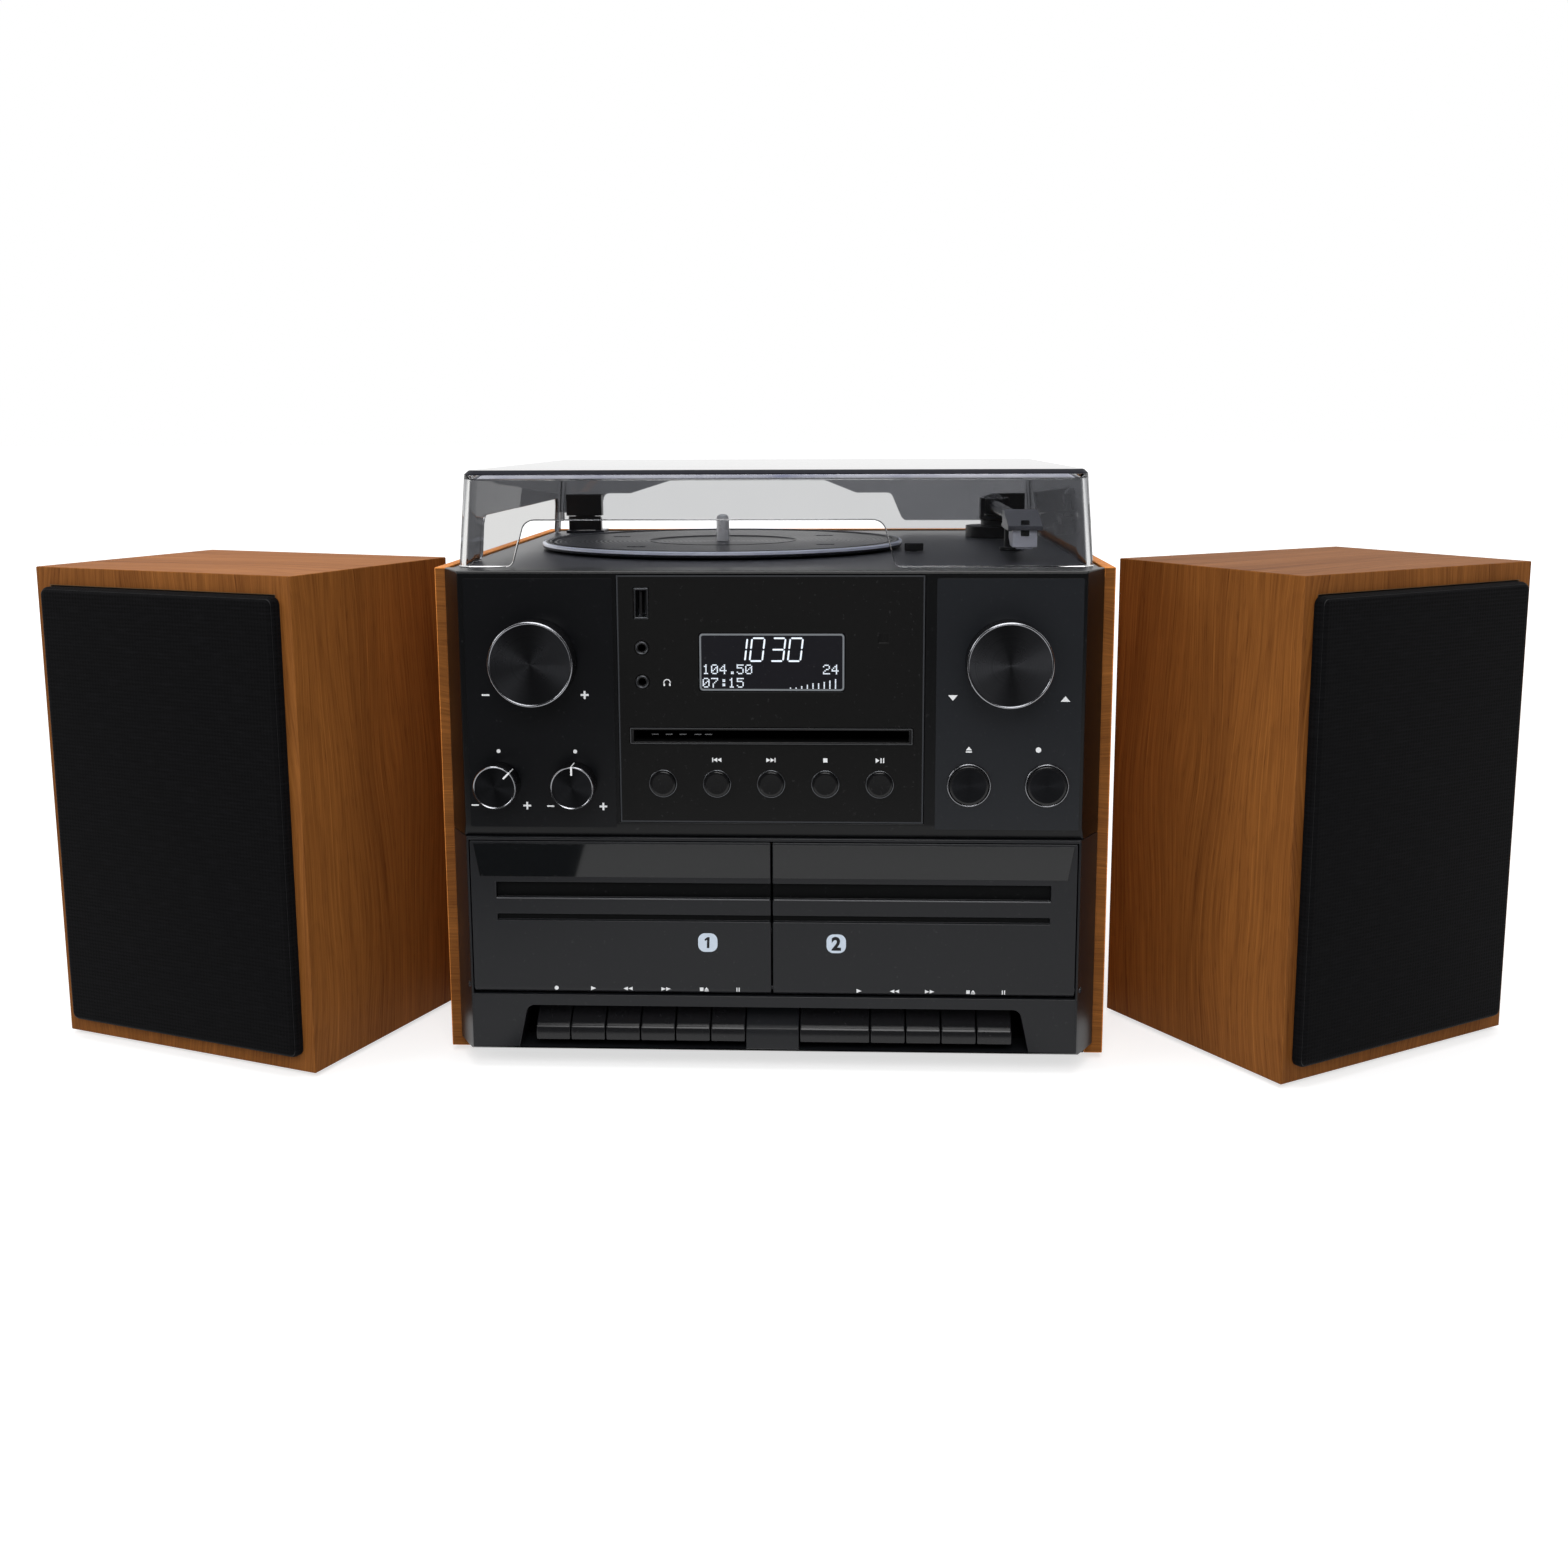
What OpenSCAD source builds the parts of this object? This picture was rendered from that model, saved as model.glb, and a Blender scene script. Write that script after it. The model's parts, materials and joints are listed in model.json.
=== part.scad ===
// Stereo music centre: a wood-sided main unit with a record player under a smoked cover,
// a disc slot, two cassette doors with piano keys, and two loudspeakers that stand beside it.
// Millimetres. +X is right, +Y is back, +Z is up. The origin is the middle of the main
// unit's footprint, on the surface that it stands on.

/* [Cabinet] */
// Width of the wooden cabinet
cab_w = 320; // [310:1:345]
// Depth of the wooden cabinet, without the front
cab_d = 305; // [300:1:330]
// Height of the side boards
cab_h = 237; // [234:1:260]
// Thickness of the side and back boards
board_t = 9; // [8:0.5:12]
// Width of board that shows round the top deck
edge_show = 5.5; // [5:0.5:7]
// Height of the rubber feet
foot_h = 3; // [2:0.5:5]
// Radius of the main unit's feet
foot_r = 10; // [6:1:12]
// Thickness of the base plate
base_t = 6; // [4:0.5:8]

/* [Front moulding] */
// How far the black front stands ahead of the boards
fascia_out = 20; // [19:0.5:24]
// Sideways run of the bevel at each end of the front
fascia_bevel = 10; // [8:0.5:12]
// Wall thickness of the front moulding
fascia_wall = 3; // [2.5:0.5:4]
// Height of the seam between the upper front and the cassette front
seam_z = 114.4; // [112:0.2:116]
// Height of the front's lower edge
skirt_z = 8.5; // [7:0.5:9]

/* [Display panel] */
// Width of panel beside each end of the disc slot's surround
panel_side = 5.1; // [4:0.1:7]
// Height of the glossy centre panel
panel_h = 116; // [114:0.5:117]
// Width of the display window
lcd_w = 67.4; // [60:0.2:72]
// Height of the display window
lcd_h = 27.1; // [22:0.1:30]
// Width of the disc slot
slot_w = 128; // [126:0.5:130]
// Height of the disc slot
slot_h = 5.6; // [5:0.1:6]
// Radius of the five round panel buttons
key_r = 5.95; // [5:0.05:6.5]
// Spacing of the five round panel buttons
key_gap = 25.3; // [22:0.1:26]
// Travel of the panel buttons
key_travel = 0.8; // [0.5:0.1:1]

/* [Knobs] */
// Radius of the volume and select knobs
knob_r = 19.7; // [17:0.1:21]
// How far the volume and select knobs stand out
knob_h = 15; // [12:0.5:18]
// Distance of the volume and select knobs from the middle
knob_x = 109; // [106:0.5:111]
// Radius of the tone knobs
tone_r = 10.2; // [8:0.1:11]
// How far the tone knobs stand out
tone_h = 12; // [9:0.5:14]
// Radius of every control shaft
shaft_r = 3; // [2.5:0.1:3.5]
// Push of the volume and select knobs
knob_push = 1.2; // [0.8:0.1:1.5]
// Radius of the eject and record buttons
round_r = 9.2; // [8:0.1:10]
// Travel of the eject and record buttons
round_travel = 1.2; // [0.8:0.1:1.5]

/* [Cassette doors and keys] */
// Height of the cassette doors' lower edge
door_z = 37.6; // [36.8:0.2:39]
// Height of the cassette doors
door_h = 74.8; // [70:0.2:75]
// Thickness of the cassette doors
door_t = 6; // [6:0.5:7]
// Radius of the rods that the doors and keys turn on
rod_r = 1.2; // [1:0.1:1.5]
// Spacing of the piano keys
piano_gap = 16.9; // [15:0.1:17]
// Gap between neighbouring piano keys
piano_slit = 0.5; // [0.4:0.1:0.8]

/* [Record player] */
// Radius of the platter
platter_r = 99.5; // [96:0.5:100]
// Height of the platter's rim above the deck
platter_rise = 4.4; // [4:0.1:5]
// Radius of the record spindle
spindle_r = 3.55; // [3.5:0.01:3.6]
// Radius of the platter shaft in its bearing
axle_r = 3; // [2.5:0.1:3.3]
// Height of the spindle above the deck
spindle_rise = 18.4; // [14:0.2:20]
// Length of the tone arm from its pivot to the needle
arm_len = 183; // [178:1:186]
// Radius of the tone arm tube
arm_r = 3.6; // [3:0.1:4]

/* [Dust cover] */
// How far the cover's sides stand in from the cabinet's
lid_in = 8.5; // [8:0.5:11]
// Height of the cover
lid_h = 45.7; // [42:0.5:50]
// Wall thickness of the cover
lid_t = 2.5; // [2:0.1:3]
// How much narrower each side is at the top
lid_draft = 3; // [2:0.5:4]

/* [Loudspeakers] */
// Width of a loudspeaker
sp_w = 155; // [140:1:160]
// Height of a loudspeaker with its feet
sp_h = 239; // [220:1:250]
// Depth of a loudspeaker
sp_d = 122; // [100:1:135]
// Height of the loudspeakers' felt feet
sp_foot_h = 2; // [1:0.5:3]
// Margin of wood round each grille
grille_margin = 6.5; // [5:0.5:8]
// How far a grille stands out
grille_out = 5.5; // [5:0.5:8]
// Sideways gap from the cabinet to the left loudspeaker's near corner
left_gap = 57; // [50:1:90]
// Turn of the left loudspeaker, in degrees
left_turn = -21; // [-23:1:0]
// Sideways gap from the cabinet to the right loudspeaker's near corner
right_gap = 77.5; // [75:1:100]
// Turn of the right loudspeaker, in degrees
right_turn = 32.5; // [0:0.5:34]

/* [Clearances] */
// Radial clearance of a shaft in its bore
run_fit = 0.05; // [0.02:0.01:0.1]
// Clearance round parts that move past each other
slide_fit = 0.3; // [0.25:0.05:0.4]

/* [Hidden] */
$fn = 64;

// Main planes
front_y = -cab_d / 2;
back_y = cab_d / 2;
face_y = front_y - fascia_out;
cab_top = foot_h + cab_h;
inner_half = cab_w / 2 - board_t;
base_half = cab_w / 2 - edge_show;
face_half = base_half - fascia_bevel;
floor_z = foot_h + base_t;

// Deck
deck_drop = 1;
deck_t = 3;
deck_z = cab_top - deck_drop;
deck_back = back_y - edge_show;
rebate_gap = 0.1;

// Record player
platter_x = 125 - cab_w / 2;
platter_y = -2.5;
platter_z = deck_z + platter_rise;
platter_gap = 0.8;
well_r = platter_r - 8.5;
well_depth = 11;
well_z = deck_z - well_depth;
hub_r = 9;
drive_r = 62;
drive_wall = 3;
pulley_r = 5;
pulley_reach = 76;
pulley_turn = 35;
belt_t = 0.6;
belt_h = 4;
belt_z = well_z + 3;
motor_r = 14;
motor_h = 18;
motor_shaft_r = 1;
bearing_h = 14;
label_r = 40.5;
rim_w = 5;

// Tone arm
arm_x = cab_w / 2 - 38;
arm_y = back_y - 70;
arm_base_h = 7;
arm_column_h = 10.3;
arm_z = deck_z + 18.5;
ear_x = 6;
ear_t = 2.5;
pin_r = 1;
head_l = 34;
head_w = 17;
head_y = arm_y - arm_len - 8;
head_slope = 0.26;
rest_y = -30;
cue_x = arm_x + 14;
cue_y = arm_y - 12;
cue_z = deck_z + 10;
speed_x = platter_x + 105;
speed_y = -36;
speed_travel = 12;

// Dust cover
lid_half = cab_w / 2 - lid_in;
lid_front = front_y + 8;
lid_back = back_y - 17;
lid_z = deck_z + slide_fit;
lid_top = lid_z + lid_h;
lid_corner = 8;
lid_edge = 2;
rear_lift = 7;
hinge_x = lid_half - 18.5;
hinge_y = lid_back - lid_t - 3;
hinge_z = deck_z + 7.5;
hinge_r = 2.8;
hinge_block_w = 22.5;
hinge_barrel_w = 12;

// Front panel places, across and above the table
panel_z = deck_z - 1 - panel_h / 2;
panel_fit = 0.2;
lcd_x = 0.6;
lcd_z = deck_z - 41.2;
lcd_depth = 7;
slot_z = deck_z - 75.8;
bezel_w = 1.7;
bezel_h = 1;
panel_w = slot_w + 2 * bezel_w + 2 * panel_side;
socket_x = -59.5;
usb_z = deck_z - 14;
aux_z = deck_z - 34.6;
phones_z = deck_z - 50.4;
usb_w = 6.7;
usb_h = 14.3;
usb_wall = 0.8;
jack_r = 3.2;
jack_bore_r = 1.8;
socket_depth = 14;
sensor_x = 52;
sensor_z = deck_z - 30;
row_z = deck_z - 98.5;
knob_z = deck_z - 40.6;
tone_x = [-127.8, -91.7];
round_x = [91.9, 127.9];
bass_turn = 45;
treble_turn = 0;
cd_depth = 150;
boss_r = 6;
boss_h = 6;
encoder_w = 14;
encoder_h = 8;

// Cassette deck
door_gap = 0.4;
door_half = face_half - 1.3;
hinge_rad = door_t / 2;
door_axis_y = face_y + hinge_rad;
door_axis_z = door_z + hinge_rad;
door_mid = (door_half + door_gap) / 2;
well_half = 54;
mech_t = 2;
blank_half = 12.9;
key_front = 0.5;
key_low = 13.7;
key_step = 20.4;
key_nose = 16.8;
key_lean = 1.1;
key_top = 30.6;
key_slope = 12.4;
key_back = 14;
key_axis_y = face_y + 32.5;
key_axis_z = 24;
recess_low = 10.4;
recess_high = 31.3;
recess_half_low = 122;
recess_half_high = 117.5;
cheek_t = 4;

// Rear sockets
plate_x = 0;
plate_z = 70;
plate_w = 150;
plate_h = 46;
plate_t = 2;
plate_lip = 4;
phono_r = 4.15;
phono_bore_r = 1.6;
phono_l = 8;
phono_x = [-52, -22];
phono_z = [plate_z - 10, plate_z + 10];
aerial_x = 18;
aerial_r = 4.7;
inlet_x = 52;
sp_socket_z = 110;

// Loudspeakers
sp_wall = 9;
baffle_t = 9;
baffle_inset = 1;
woofer_r = 50;
woofer_z = 88;
tweeter_r = 26;
tweeter_z = 178;
peg_r = 2.5;
peg_l = 6;
frame_w = 10;
peg_dx = sp_w / 2 - grille_margin - frame_w / 2 - 4;
peg_low = 18;
left_place = [-(cab_w / 2 + left_gap), front_y - 36.8];
right_place = [cab_w / 2 + right_gap, front_y - 35.3];

// ---------- shared shapes ----------

module block(x0, x1, y0, y1, z0, z1) translate([x0, y0, z0]) cube([x1 - x0, y1 - y0, z1 - z0]);

// Flat shape in the XZ plane, run from y0 back to y1
module front_prism(x, z, y0, y1) translate([x, y1, z]) rotate([90, 0, 0])
    linear_extrude(y1 - y0) children();

module rod_y(x, z, y0, y1, r) front_prism(x, z, y0, y1) circle(r);

module rod_x(x0, x1, y, z, r) translate([x0, y, z]) rotate([0, 90, 0]) cylinder(r = r, h = x1 - x0);

module rounded(w, h, r) {
    square([w - 2 * r, h], center = true);
    square([w, h - 2 * r], center = true);
    for (sx = [-1, 1], sy = [-1, 1]) translate([sx * (w / 2 - r), sy * (h / 2 - r)]) circle(r);
}

// Plan outline of the front moulding, inset by a wall
module front_outline(inset = 0) translate([0, front_y]) polygon([
    [-base_half + inset, inset ? 1 : 0], [-base_half + inset, -2],
    [-face_half + inset * 0.7, -fascia_out + inset], [face_half - inset * 0.7, -fascia_out + inset],
    [base_half - inset, -2], [base_half - inset, inset ? 1 : 0]]);

// Profile in the YZ plane, run from x0 to x1
module side_prism(x0, x1) translate([x0, 0, 0]) rotate([90, 0, 90]) linear_extrude(x1 - x0) children();

// ---------- main unit ----------

module cabinet_shell() color("peru") difference() {
    union() {
        for (s = [0, 1]) mirror([s, 0, 0])
            block(inner_half, cab_w / 2, front_y, back_y, foot_h, cab_top);
        block(-inner_half, inner_half, back_y - board_t, back_y, foot_h, cab_top);
    }
    block(-base_half, base_half, front_y - 1, deck_back + rebate_gap, deck_z - deck_t, cab_top + 1);
    front_prism(plate_x, plate_z, back_y - board_t - 1, back_y + 1)
        square([plate_w - 2 * plate_lip, plate_h - 2 * plate_lip], center = true);
}

module base_plate() color("dimgray") difference() {
    block(-inner_half, inner_half, front_y, back_y - board_t, foot_h, floor_z);
    for (i = [-4:4]) block(i * 14 - 2, i * 14 + 2, 20, 80, foot_h - 1, floor_z + 1);
}

module rubber_feet() color("black") {
    for (sx = [-1, 1], sy = [-1, 1])
        translate([sx * (cab_w / 2 - 30), sy * (cab_d / 2 - 30), 0]) cylinder(r = foot_r, h = foot_h);
    for (side = [-1, 1]) at_speaker(side) for (sx = [-1, 1], dy = [16, sp_d - 16])
        translate([sx * (sp_w / 2 - 16), dy, 0]) cylinder(r = 7, h = sp_foot_h);
}

module turntable_deck() color("dimgray") difference() {
    union() {
        block(-base_half + rebate_gap, base_half - rebate_gap, front_y, deck_back, deck_z - deck_t, deck_z);
        translate([platter_x, platter_y, well_z - deck_t])
            cylinder(r = well_r + deck_t, h = well_depth + deck_t - 0.5, $fn = 128);
        translate([platter_x, platter_y, well_z - bearing_h]) cylinder(r = 8, h = bearing_h);
    }
    translate([platter_x, platter_y, well_z]) cylinder(r = well_r, h = well_depth + 1, $fn = 128);
    translate([platter_x, platter_y, well_z - bearing_h + 2])
        cylinder(r = axle_r + run_fit, h = bearing_h + 1);
    at_pulley() translate([0, 0, well_z - deck_t - 1]) cylinder(r = motor_shaft_r + 1, h = deck_t + 2);
    block(speed_x - 2, speed_x + 2, speed_y - 2, speed_y + speed_travel + 2,
        deck_z - deck_t - 1, deck_z + 1);
}

module front_fascia() color([0.1, 0.11, 0.12]) difference() {
    union() {
        difference() {
            intersection() {
                translate([0, 0, seam_z]) linear_extrude(cab_top - seam_z) front_outline();
                side_prism(-cab_w, cab_w) polygon([[front_y, seam_z + 0.2], [face_y + 2, seam_z + 0.2],
                    [face_y, seam_z + 6], [face_y, cab_top - 1], [face_y + 1, cab_top],
                    [front_y, cab_top]]);
            }
            translate([0, 0, seam_z + fascia_wall]) linear_extrude(cab_top - seam_z - 2 * fascia_wall)
                front_outline(fascia_wall);
        }
        for (p = shaft_places())
            rod_y(p[0], p[1], face_y + fascia_wall - 1, face_y + fascia_wall + boss_h, boss_r);
        for (x = round_x) rod_y(x, row_z, face_y - 0.8, face_y + 1, round_r + 0.9);
    }
    front_prism(0, panel_z, face_y - 1, face_y + fascia_wall + 1)
        square([panel_w + 2 * panel_fit, panel_h + 2 * panel_fit], center = true);
    for (p = shaft_places()) rod_y(p[0], p[1], face_y - 1, face_y + 20, shaft_r + run_fit);
    for (x = round_x) rod_y(x, row_z, face_y - 2, face_y + fascia_wall + 1, round_r + slide_fit);
}

function shaft_places() = concat([for (s = [-1, 1]) [s * knob_x, knob_z]], [for (x = tone_x) [x, row_z]]);

module display_panel() color([0.09, 0.09, 0.09]) difference() {
    front_prism(0, panel_z, face_y, face_y + fascia_wall) square([panel_w, panel_h], center = true);
    front_prism(lcd_x, lcd_z, face_y - 1, face_y + fascia_wall + 1)
        rounded(lcd_w + 2 * panel_fit, lcd_h + 2 * panel_fit, 1.5);
    front_prism(0, slot_z, face_y - 1, face_y + fascia_wall + 1)
        square([slot_w + 2 * bezel_w + 2 * panel_fit, slot_h + 2 * bezel_h + 2 * panel_fit], center = true);
    front_prism(socket_x, usb_z, face_y - 1, face_y + fascia_wall + 1)
        square([usb_w + 2 * panel_fit, usb_h + 2 * panel_fit], center = true);
    for (z = [aux_z, phones_z])
        rod_y(socket_x, z, face_y - 1, face_y + fascia_wall + 1, jack_r + panel_fit);
    for (i = [-2:2]) rod_y(i * key_gap, row_z, face_y - 1, face_y + fascia_wall + 1, key_r + slide_fit);
    front_prism(sensor_x, sensor_z, face_y - 1, face_y + 0.6) square([4.6, 4.2], center = true);
}

module lcd_module() color("lightgray") union() {
    front_prism(lcd_x, lcd_z, face_y + 0.3, face_y + fascia_wall) rounded(lcd_w, lcd_h, 1.4);
    front_prism(lcd_x, lcd_z, face_y + fascia_wall, face_y + fascia_wall + lcd_depth)
        square([lcd_w + 5, lcd_h + 4], center = true);
}

module cd_mechanism() color("silver") difference() {
    union() {
        front_prism(0, slot_z, face_y - 0.4, face_y + fascia_wall)
            square([slot_w + 2 * bezel_w, slot_h + 2 * bezel_h], center = true);
        front_prism(0, slot_z, face_y + fascia_wall, face_y + fascia_wall + cd_depth)
            square([slot_w + 8, 24], center = true);
    }
    front_prism(0, slot_z, face_y - 1, face_y + fascia_wall + slot_w)
        square([slot_w, slot_h], center = true);
}

module front_sockets() {
    color("silver") difference() {
        front_prism(socket_x, usb_z, face_y - 0.2, face_y + socket_depth)
            square([usb_w, usb_h], center = true);
        front_prism(socket_x, usb_z, face_y - 1, face_y + socket_depth - 2)
            square([usb_w - 2 * usb_wall, usb_h - 2 * usb_wall], center = true);
    }
    color("black") for (z = [aux_z, phones_z]) difference() {
        union() {
            rod_y(socket_x, z, face_y - 0.3, face_y + fascia_wall, jack_r);
            front_prism(socket_x, z, face_y + fascia_wall, face_y + socket_depth)
                square([8, 9], center = true);
        }
        rod_y(socket_x, z, face_y - 1, face_y + socket_depth + 1, jack_bore_r);
    }
}

module cassette_surround() color([0.16, 0.16, 0.17]) difference() {
    union() {
        difference() {
            intersection() {
                translate([0, 0, skirt_z]) linear_extrude(seam_z - skirt_z) front_outline();
                side_prism(-cab_w, cab_w) polygon([[front_y, skirt_z], [face_y + 3, skirt_z],
                    [face_y, skirt_z + 1.5], [face_y, seam_z], [front_y, seam_z]]);
            }
            block(-door_half - door_gap, door_half + door_gap, face_y - 1, front_y + 1,
                door_z - 0.7, door_z + door_h + slide_fit);
            front_prism(0, 0, face_y - 1, front_y + 1) {
                polygon([[-recess_half_low, recess_low], [-recess_half_high - 0.7, recess_high - 3.2],
                    [-recess_half_high + 3.2, recess_high], [recess_half_high - 3.2, recess_high],
                    [recess_half_high + 0.7, recess_high - 3.2], [recess_half_low, recess_low]]);
                for (sx = [-1, 1]) translate([sx * (recess_half_high - 3.23), recess_high - 4]) circle(4);
            }
        }
        side_prism(-blank_half + piano_slit / 2, blank_half - piano_slit / 2) polygon([
            [face_y + key_front, recess_low - 0.5], [face_y + key_front, key_nose],
            [face_y + key_front + key_lean, key_step],
            [face_y + key_front + key_slope, key_top], [face_y + key_back, key_top],
            [face_y + key_back, recess_high + 0.5], [front_y, recess_high + 0.5],
            [front_y, recess_low - 0.5]]);
        block(-cheek_t, cheek_t, front_y - 1, key_axis_y + 5, key_axis_z - 5, key_axis_z + 5);
        for (s = [0, 1]) mirror([s, 0, 0]) block(recess_half_low + 1, recess_half_low + 1 + cheek_t,
            front_y - 1, key_axis_y + 5, key_axis_z - 10, key_axis_z + 8);
    }
    rod_x(-recess_half_low - 6, recess_half_low + 6, key_axis_y, key_axis_z, rod_r + run_fit);
    rod_x(-door_half - 3.5, door_half + 3.5, door_axis_y, door_axis_z, rod_r + run_fit);
}

module cassette_mechanisms() for (s = [-1, 1]) color("gray") difference() {
    union() {
        block(s * door_mid - 60, s * door_mid + 60, front_y, front_y + mech_t,
            recess_high + 2, seam_z - 0.5);
        block(s * door_mid - 52, s * door_mid + 52, front_y + mech_t, front_y + 34,
            door_z + 10, door_z + 68);
        for (dx = [-21.25, 21.25]) rod_y(s * door_mid + dx, door_z + 36, front_y - 6, front_y + 1, 4.5);
        block(s * door_mid - 9, s * door_mid + 9, front_y - 2.5, front_y + 1, door_z + 12, door_z + 22);
    }
    for (dx = [-21.25, 21.25]) rod_y(s * door_mid + dx, door_z + 36, front_y - 7, front_y, 1.5);
}

module pivot_rods() color("silver") {
    rod_x(-recess_half_low - 5, recess_half_low + 5, key_axis_y, key_axis_z, rod_r);
    rod_x(-door_half - 3, door_half + 3, door_axis_y, door_axis_z, rod_r);
}

module circuit_boards() {
    color("darkgreen") union() {
        block(-110, 50, 10, 120, floor_z + 6, floor_z + 7.6);
        for (x = [-104, 44], y = [16, 114]) translate([x, y, floor_z]) cylinder(r = 3, h = 6.5);
        block(-95, -85, 30, 100, floor_z + 7, floor_z + 40);
        for (i = [0:3]) translate([-60 + i * 22, 90, floor_z + 7]) cylinder(r = 8, h = 26);
    }
    color("green") translate([0, lcd_depth + fascia_wall, 0])
        front_prism(0, lcd_z, face_y, face_y + 1.6) square([lcd_w + 32, lcd_h + 16], center = true);
    color("gray") for (p = shaft_places()) difference() {
        front_prism(p[0], p[1], face_y + fascia_wall + boss_h, face_y + fascia_wall + boss_h + encoder_h)
            square([encoder_w, encoder_w], center = true);
        rod_y(p[0], p[1], face_y, face_y + fascia_wall + boss_h + encoder_h - 1.5, shaft_r + run_fit);
    }
}

module transformer() color("darkgoldenrod") union() {
    translate([inner_half - 46, back_y - 80, floor_z]) {
        block(-30, 30, -12.5, 12.5, 0, 50);
        block(-17, 17, -22.5, 22.5, 9, 41);
    }
}

module rear_socket_plates() {
    color("black") difference() {
        union() {
            front_prism(plate_x, plate_z, back_y, back_y + plate_t)
                square([plate_w, plate_h], center = true);
            front_prism(plate_x, plate_z, back_y - board_t, back_y)
                square([plate_w - 2 * plate_lip - 0.4, plate_h - 2 * plate_lip - 0.4], center = true);
            for (x = phono_x, z = phono_z)
                rod_y(x, z, back_y + plate_t - 1, back_y + plate_t + phono_l, phono_r);
            rod_y(aerial_x, plate_z, back_y + plate_t - 1, back_y + plate_t + phono_l, aerial_r);
        }
        for (x = phono_x, z = phono_z)
            rod_y(x, z, back_y - 5, back_y + plate_t + phono_l + 1, phono_bore_r);
        rod_y(aerial_x, plate_z, back_y - 3, back_y + plate_t + phono_l + 1, phono_bore_r);
        front_prism(inlet_x, plate_z, back_y - 8, back_y + plate_t + 1) rounded(18, 9, 3);
    }
    color("dimgray") for (side = [-1, 1]) at_speaker(side) difference() {
        union() {
            front_prism(0, sp_socket_z, sp_d, sp_d + plate_t) rounded(40, 40, 4);
            rod_y(0, sp_socket_z, sp_d + plate_t - 1, sp_d + plate_t + phono_l, phono_r);
        }
        rod_y(0, sp_socket_z, sp_d + 0.5, sp_d + plate_t + phono_l + 1, phono_bore_r);
    }
}

// ---------- record player ----------

module at_pulley() translate([platter_x, platter_y, 0]) rotate(pulley_turn)
    translate([pulley_reach, 0, 0]) children();

module platter() color([0.2, 0.2, 0.21]) difference() {
    translate([platter_x, platter_y, 0]) rotate_extrude($fn = 160) polygon([
        [axle_r + 0.02, well_z + 0.4], [hub_r, well_z + 0.4], [hub_r, deck_z + platter_gap],
        [drive_r - drive_wall, deck_z + platter_gap], [drive_r - drive_wall, well_z + 1.2],
        [drive_r, well_z + 1.2], [drive_r, deck_z + platter_gap], [platter_r - 1, deck_z + platter_gap],
        [platter_r, deck_z + platter_gap + 1], [platter_r, platter_z - 0.6], [platter_r - 0.6, platter_z],
        [platter_r - rim_w, platter_z], [platter_r - rim_w - 0.5, platter_z - 0.5],
        [label_r, platter_z - 0.5], [label_r - 0.5, platter_z - 1], [axle_r + 0.02, platter_z - 1]]);
    for (a = [154, 232, 35, 328]) translate([platter_x, platter_y, deck_z]) rotate(a)
        translate([drive_r + 6, 0, 0]) rotate(-a) cube([9, 5, 20], center = true);
}

module record_spindle() color("gainsboro") translate([platter_x, platter_y, 0]) rotate_extrude() polygon([
    [0, well_z - bearing_h + 2.4], [axle_r, well_z - bearing_h + 2.4], [axle_r, platter_z - 1],
    [spindle_r, platter_z - 1], [spindle_r, deck_z + spindle_rise - 3],
    [spindle_r * 0.85, deck_z + spindle_rise - 1], [spindle_r * 0.5, deck_z + spindle_rise - 0.2],
    [0, deck_z + spindle_rise]]);

module motor_pulley() color("gold") at_pulley() union() {
    translate([0, 0, belt_z - 2]) cylinder(r = pulley_r + 1, h = 1.4);
    translate([0, 0, belt_z - 1]) cylinder(r = pulley_r, h = belt_h + 0.6);
    translate([0, 0, well_z - deck_t - 8]) cylinder(r = motor_shaft_r, h = belt_z - well_z + deck_t + 8);
}

module turntable_motor() color("silver") at_pulley() difference() {
    translate([0, 0, well_z - deck_t - motor_h]) cylinder(r = motor_r, h = motor_h);
    translate([0, 0, well_z - deck_t - 9]) cylinder(r = motor_shaft_r + run_fit, h = 10);
}

// The area inside a band that runs round the platter's drive ring and the pulley
module belt_area(gap) hull() {
    circle(drive_r + gap, $fn = 128);
    translate([pulley_reach, 0]) circle(pulley_r + gap, $fn = 32);
}

module drive_belt() color("black") translate([platter_x, platter_y, belt_z]) rotate(pulley_turn)
    linear_extrude(belt_h) difference() {
        belt_area(slide_fit + belt_t);
        belt_area(slide_fit);
    }

module tonearm_base() color([0.12, 0.12, 0.13]) {
    difference() {
        union() {
            translate([arm_x, arm_y, deck_z]) cylinder(r = 17, h = arm_base_h);
            translate([arm_x, arm_y, deck_z]) cylinder(r = 8, h = arm_column_h);
            block(cue_x - 5, cue_x - 1.8, cue_y - 3.5, cue_y + 3.5, deck_z, cue_z + 3.5);
            block(arm_x + 8, cue_x - 4, cue_y - 3.5, cue_y + 3.5, deck_z, deck_z + 4);
        }
        translate([arm_x, arm_y, deck_z + 1]) cylinder(r = shaft_r + run_fit, h = arm_column_h);
        rod_x(cue_x - 6, cue_x, cue_y, cue_z, pin_r + run_fit);
    }
    union() {
        translate([arm_x, rest_y, deck_z]) cylinder(r = 6, h = 2);
        translate([arm_x, rest_y, deck_z]) cylinder(r = 3.5, h = arm_z - arm_r - deck_z - 1.5);
        block(arm_x - 5, arm_x + 7.5, rest_y - 4, rest_y + 4, arm_z - arm_r - 2, arm_z - arm_r - slide_fit);
        block(arm_x + 5, arm_x + 7.5, rest_y - 4, rest_y + 4, arm_z - arm_r - 1, arm_z + 3);
    }
}

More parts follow.
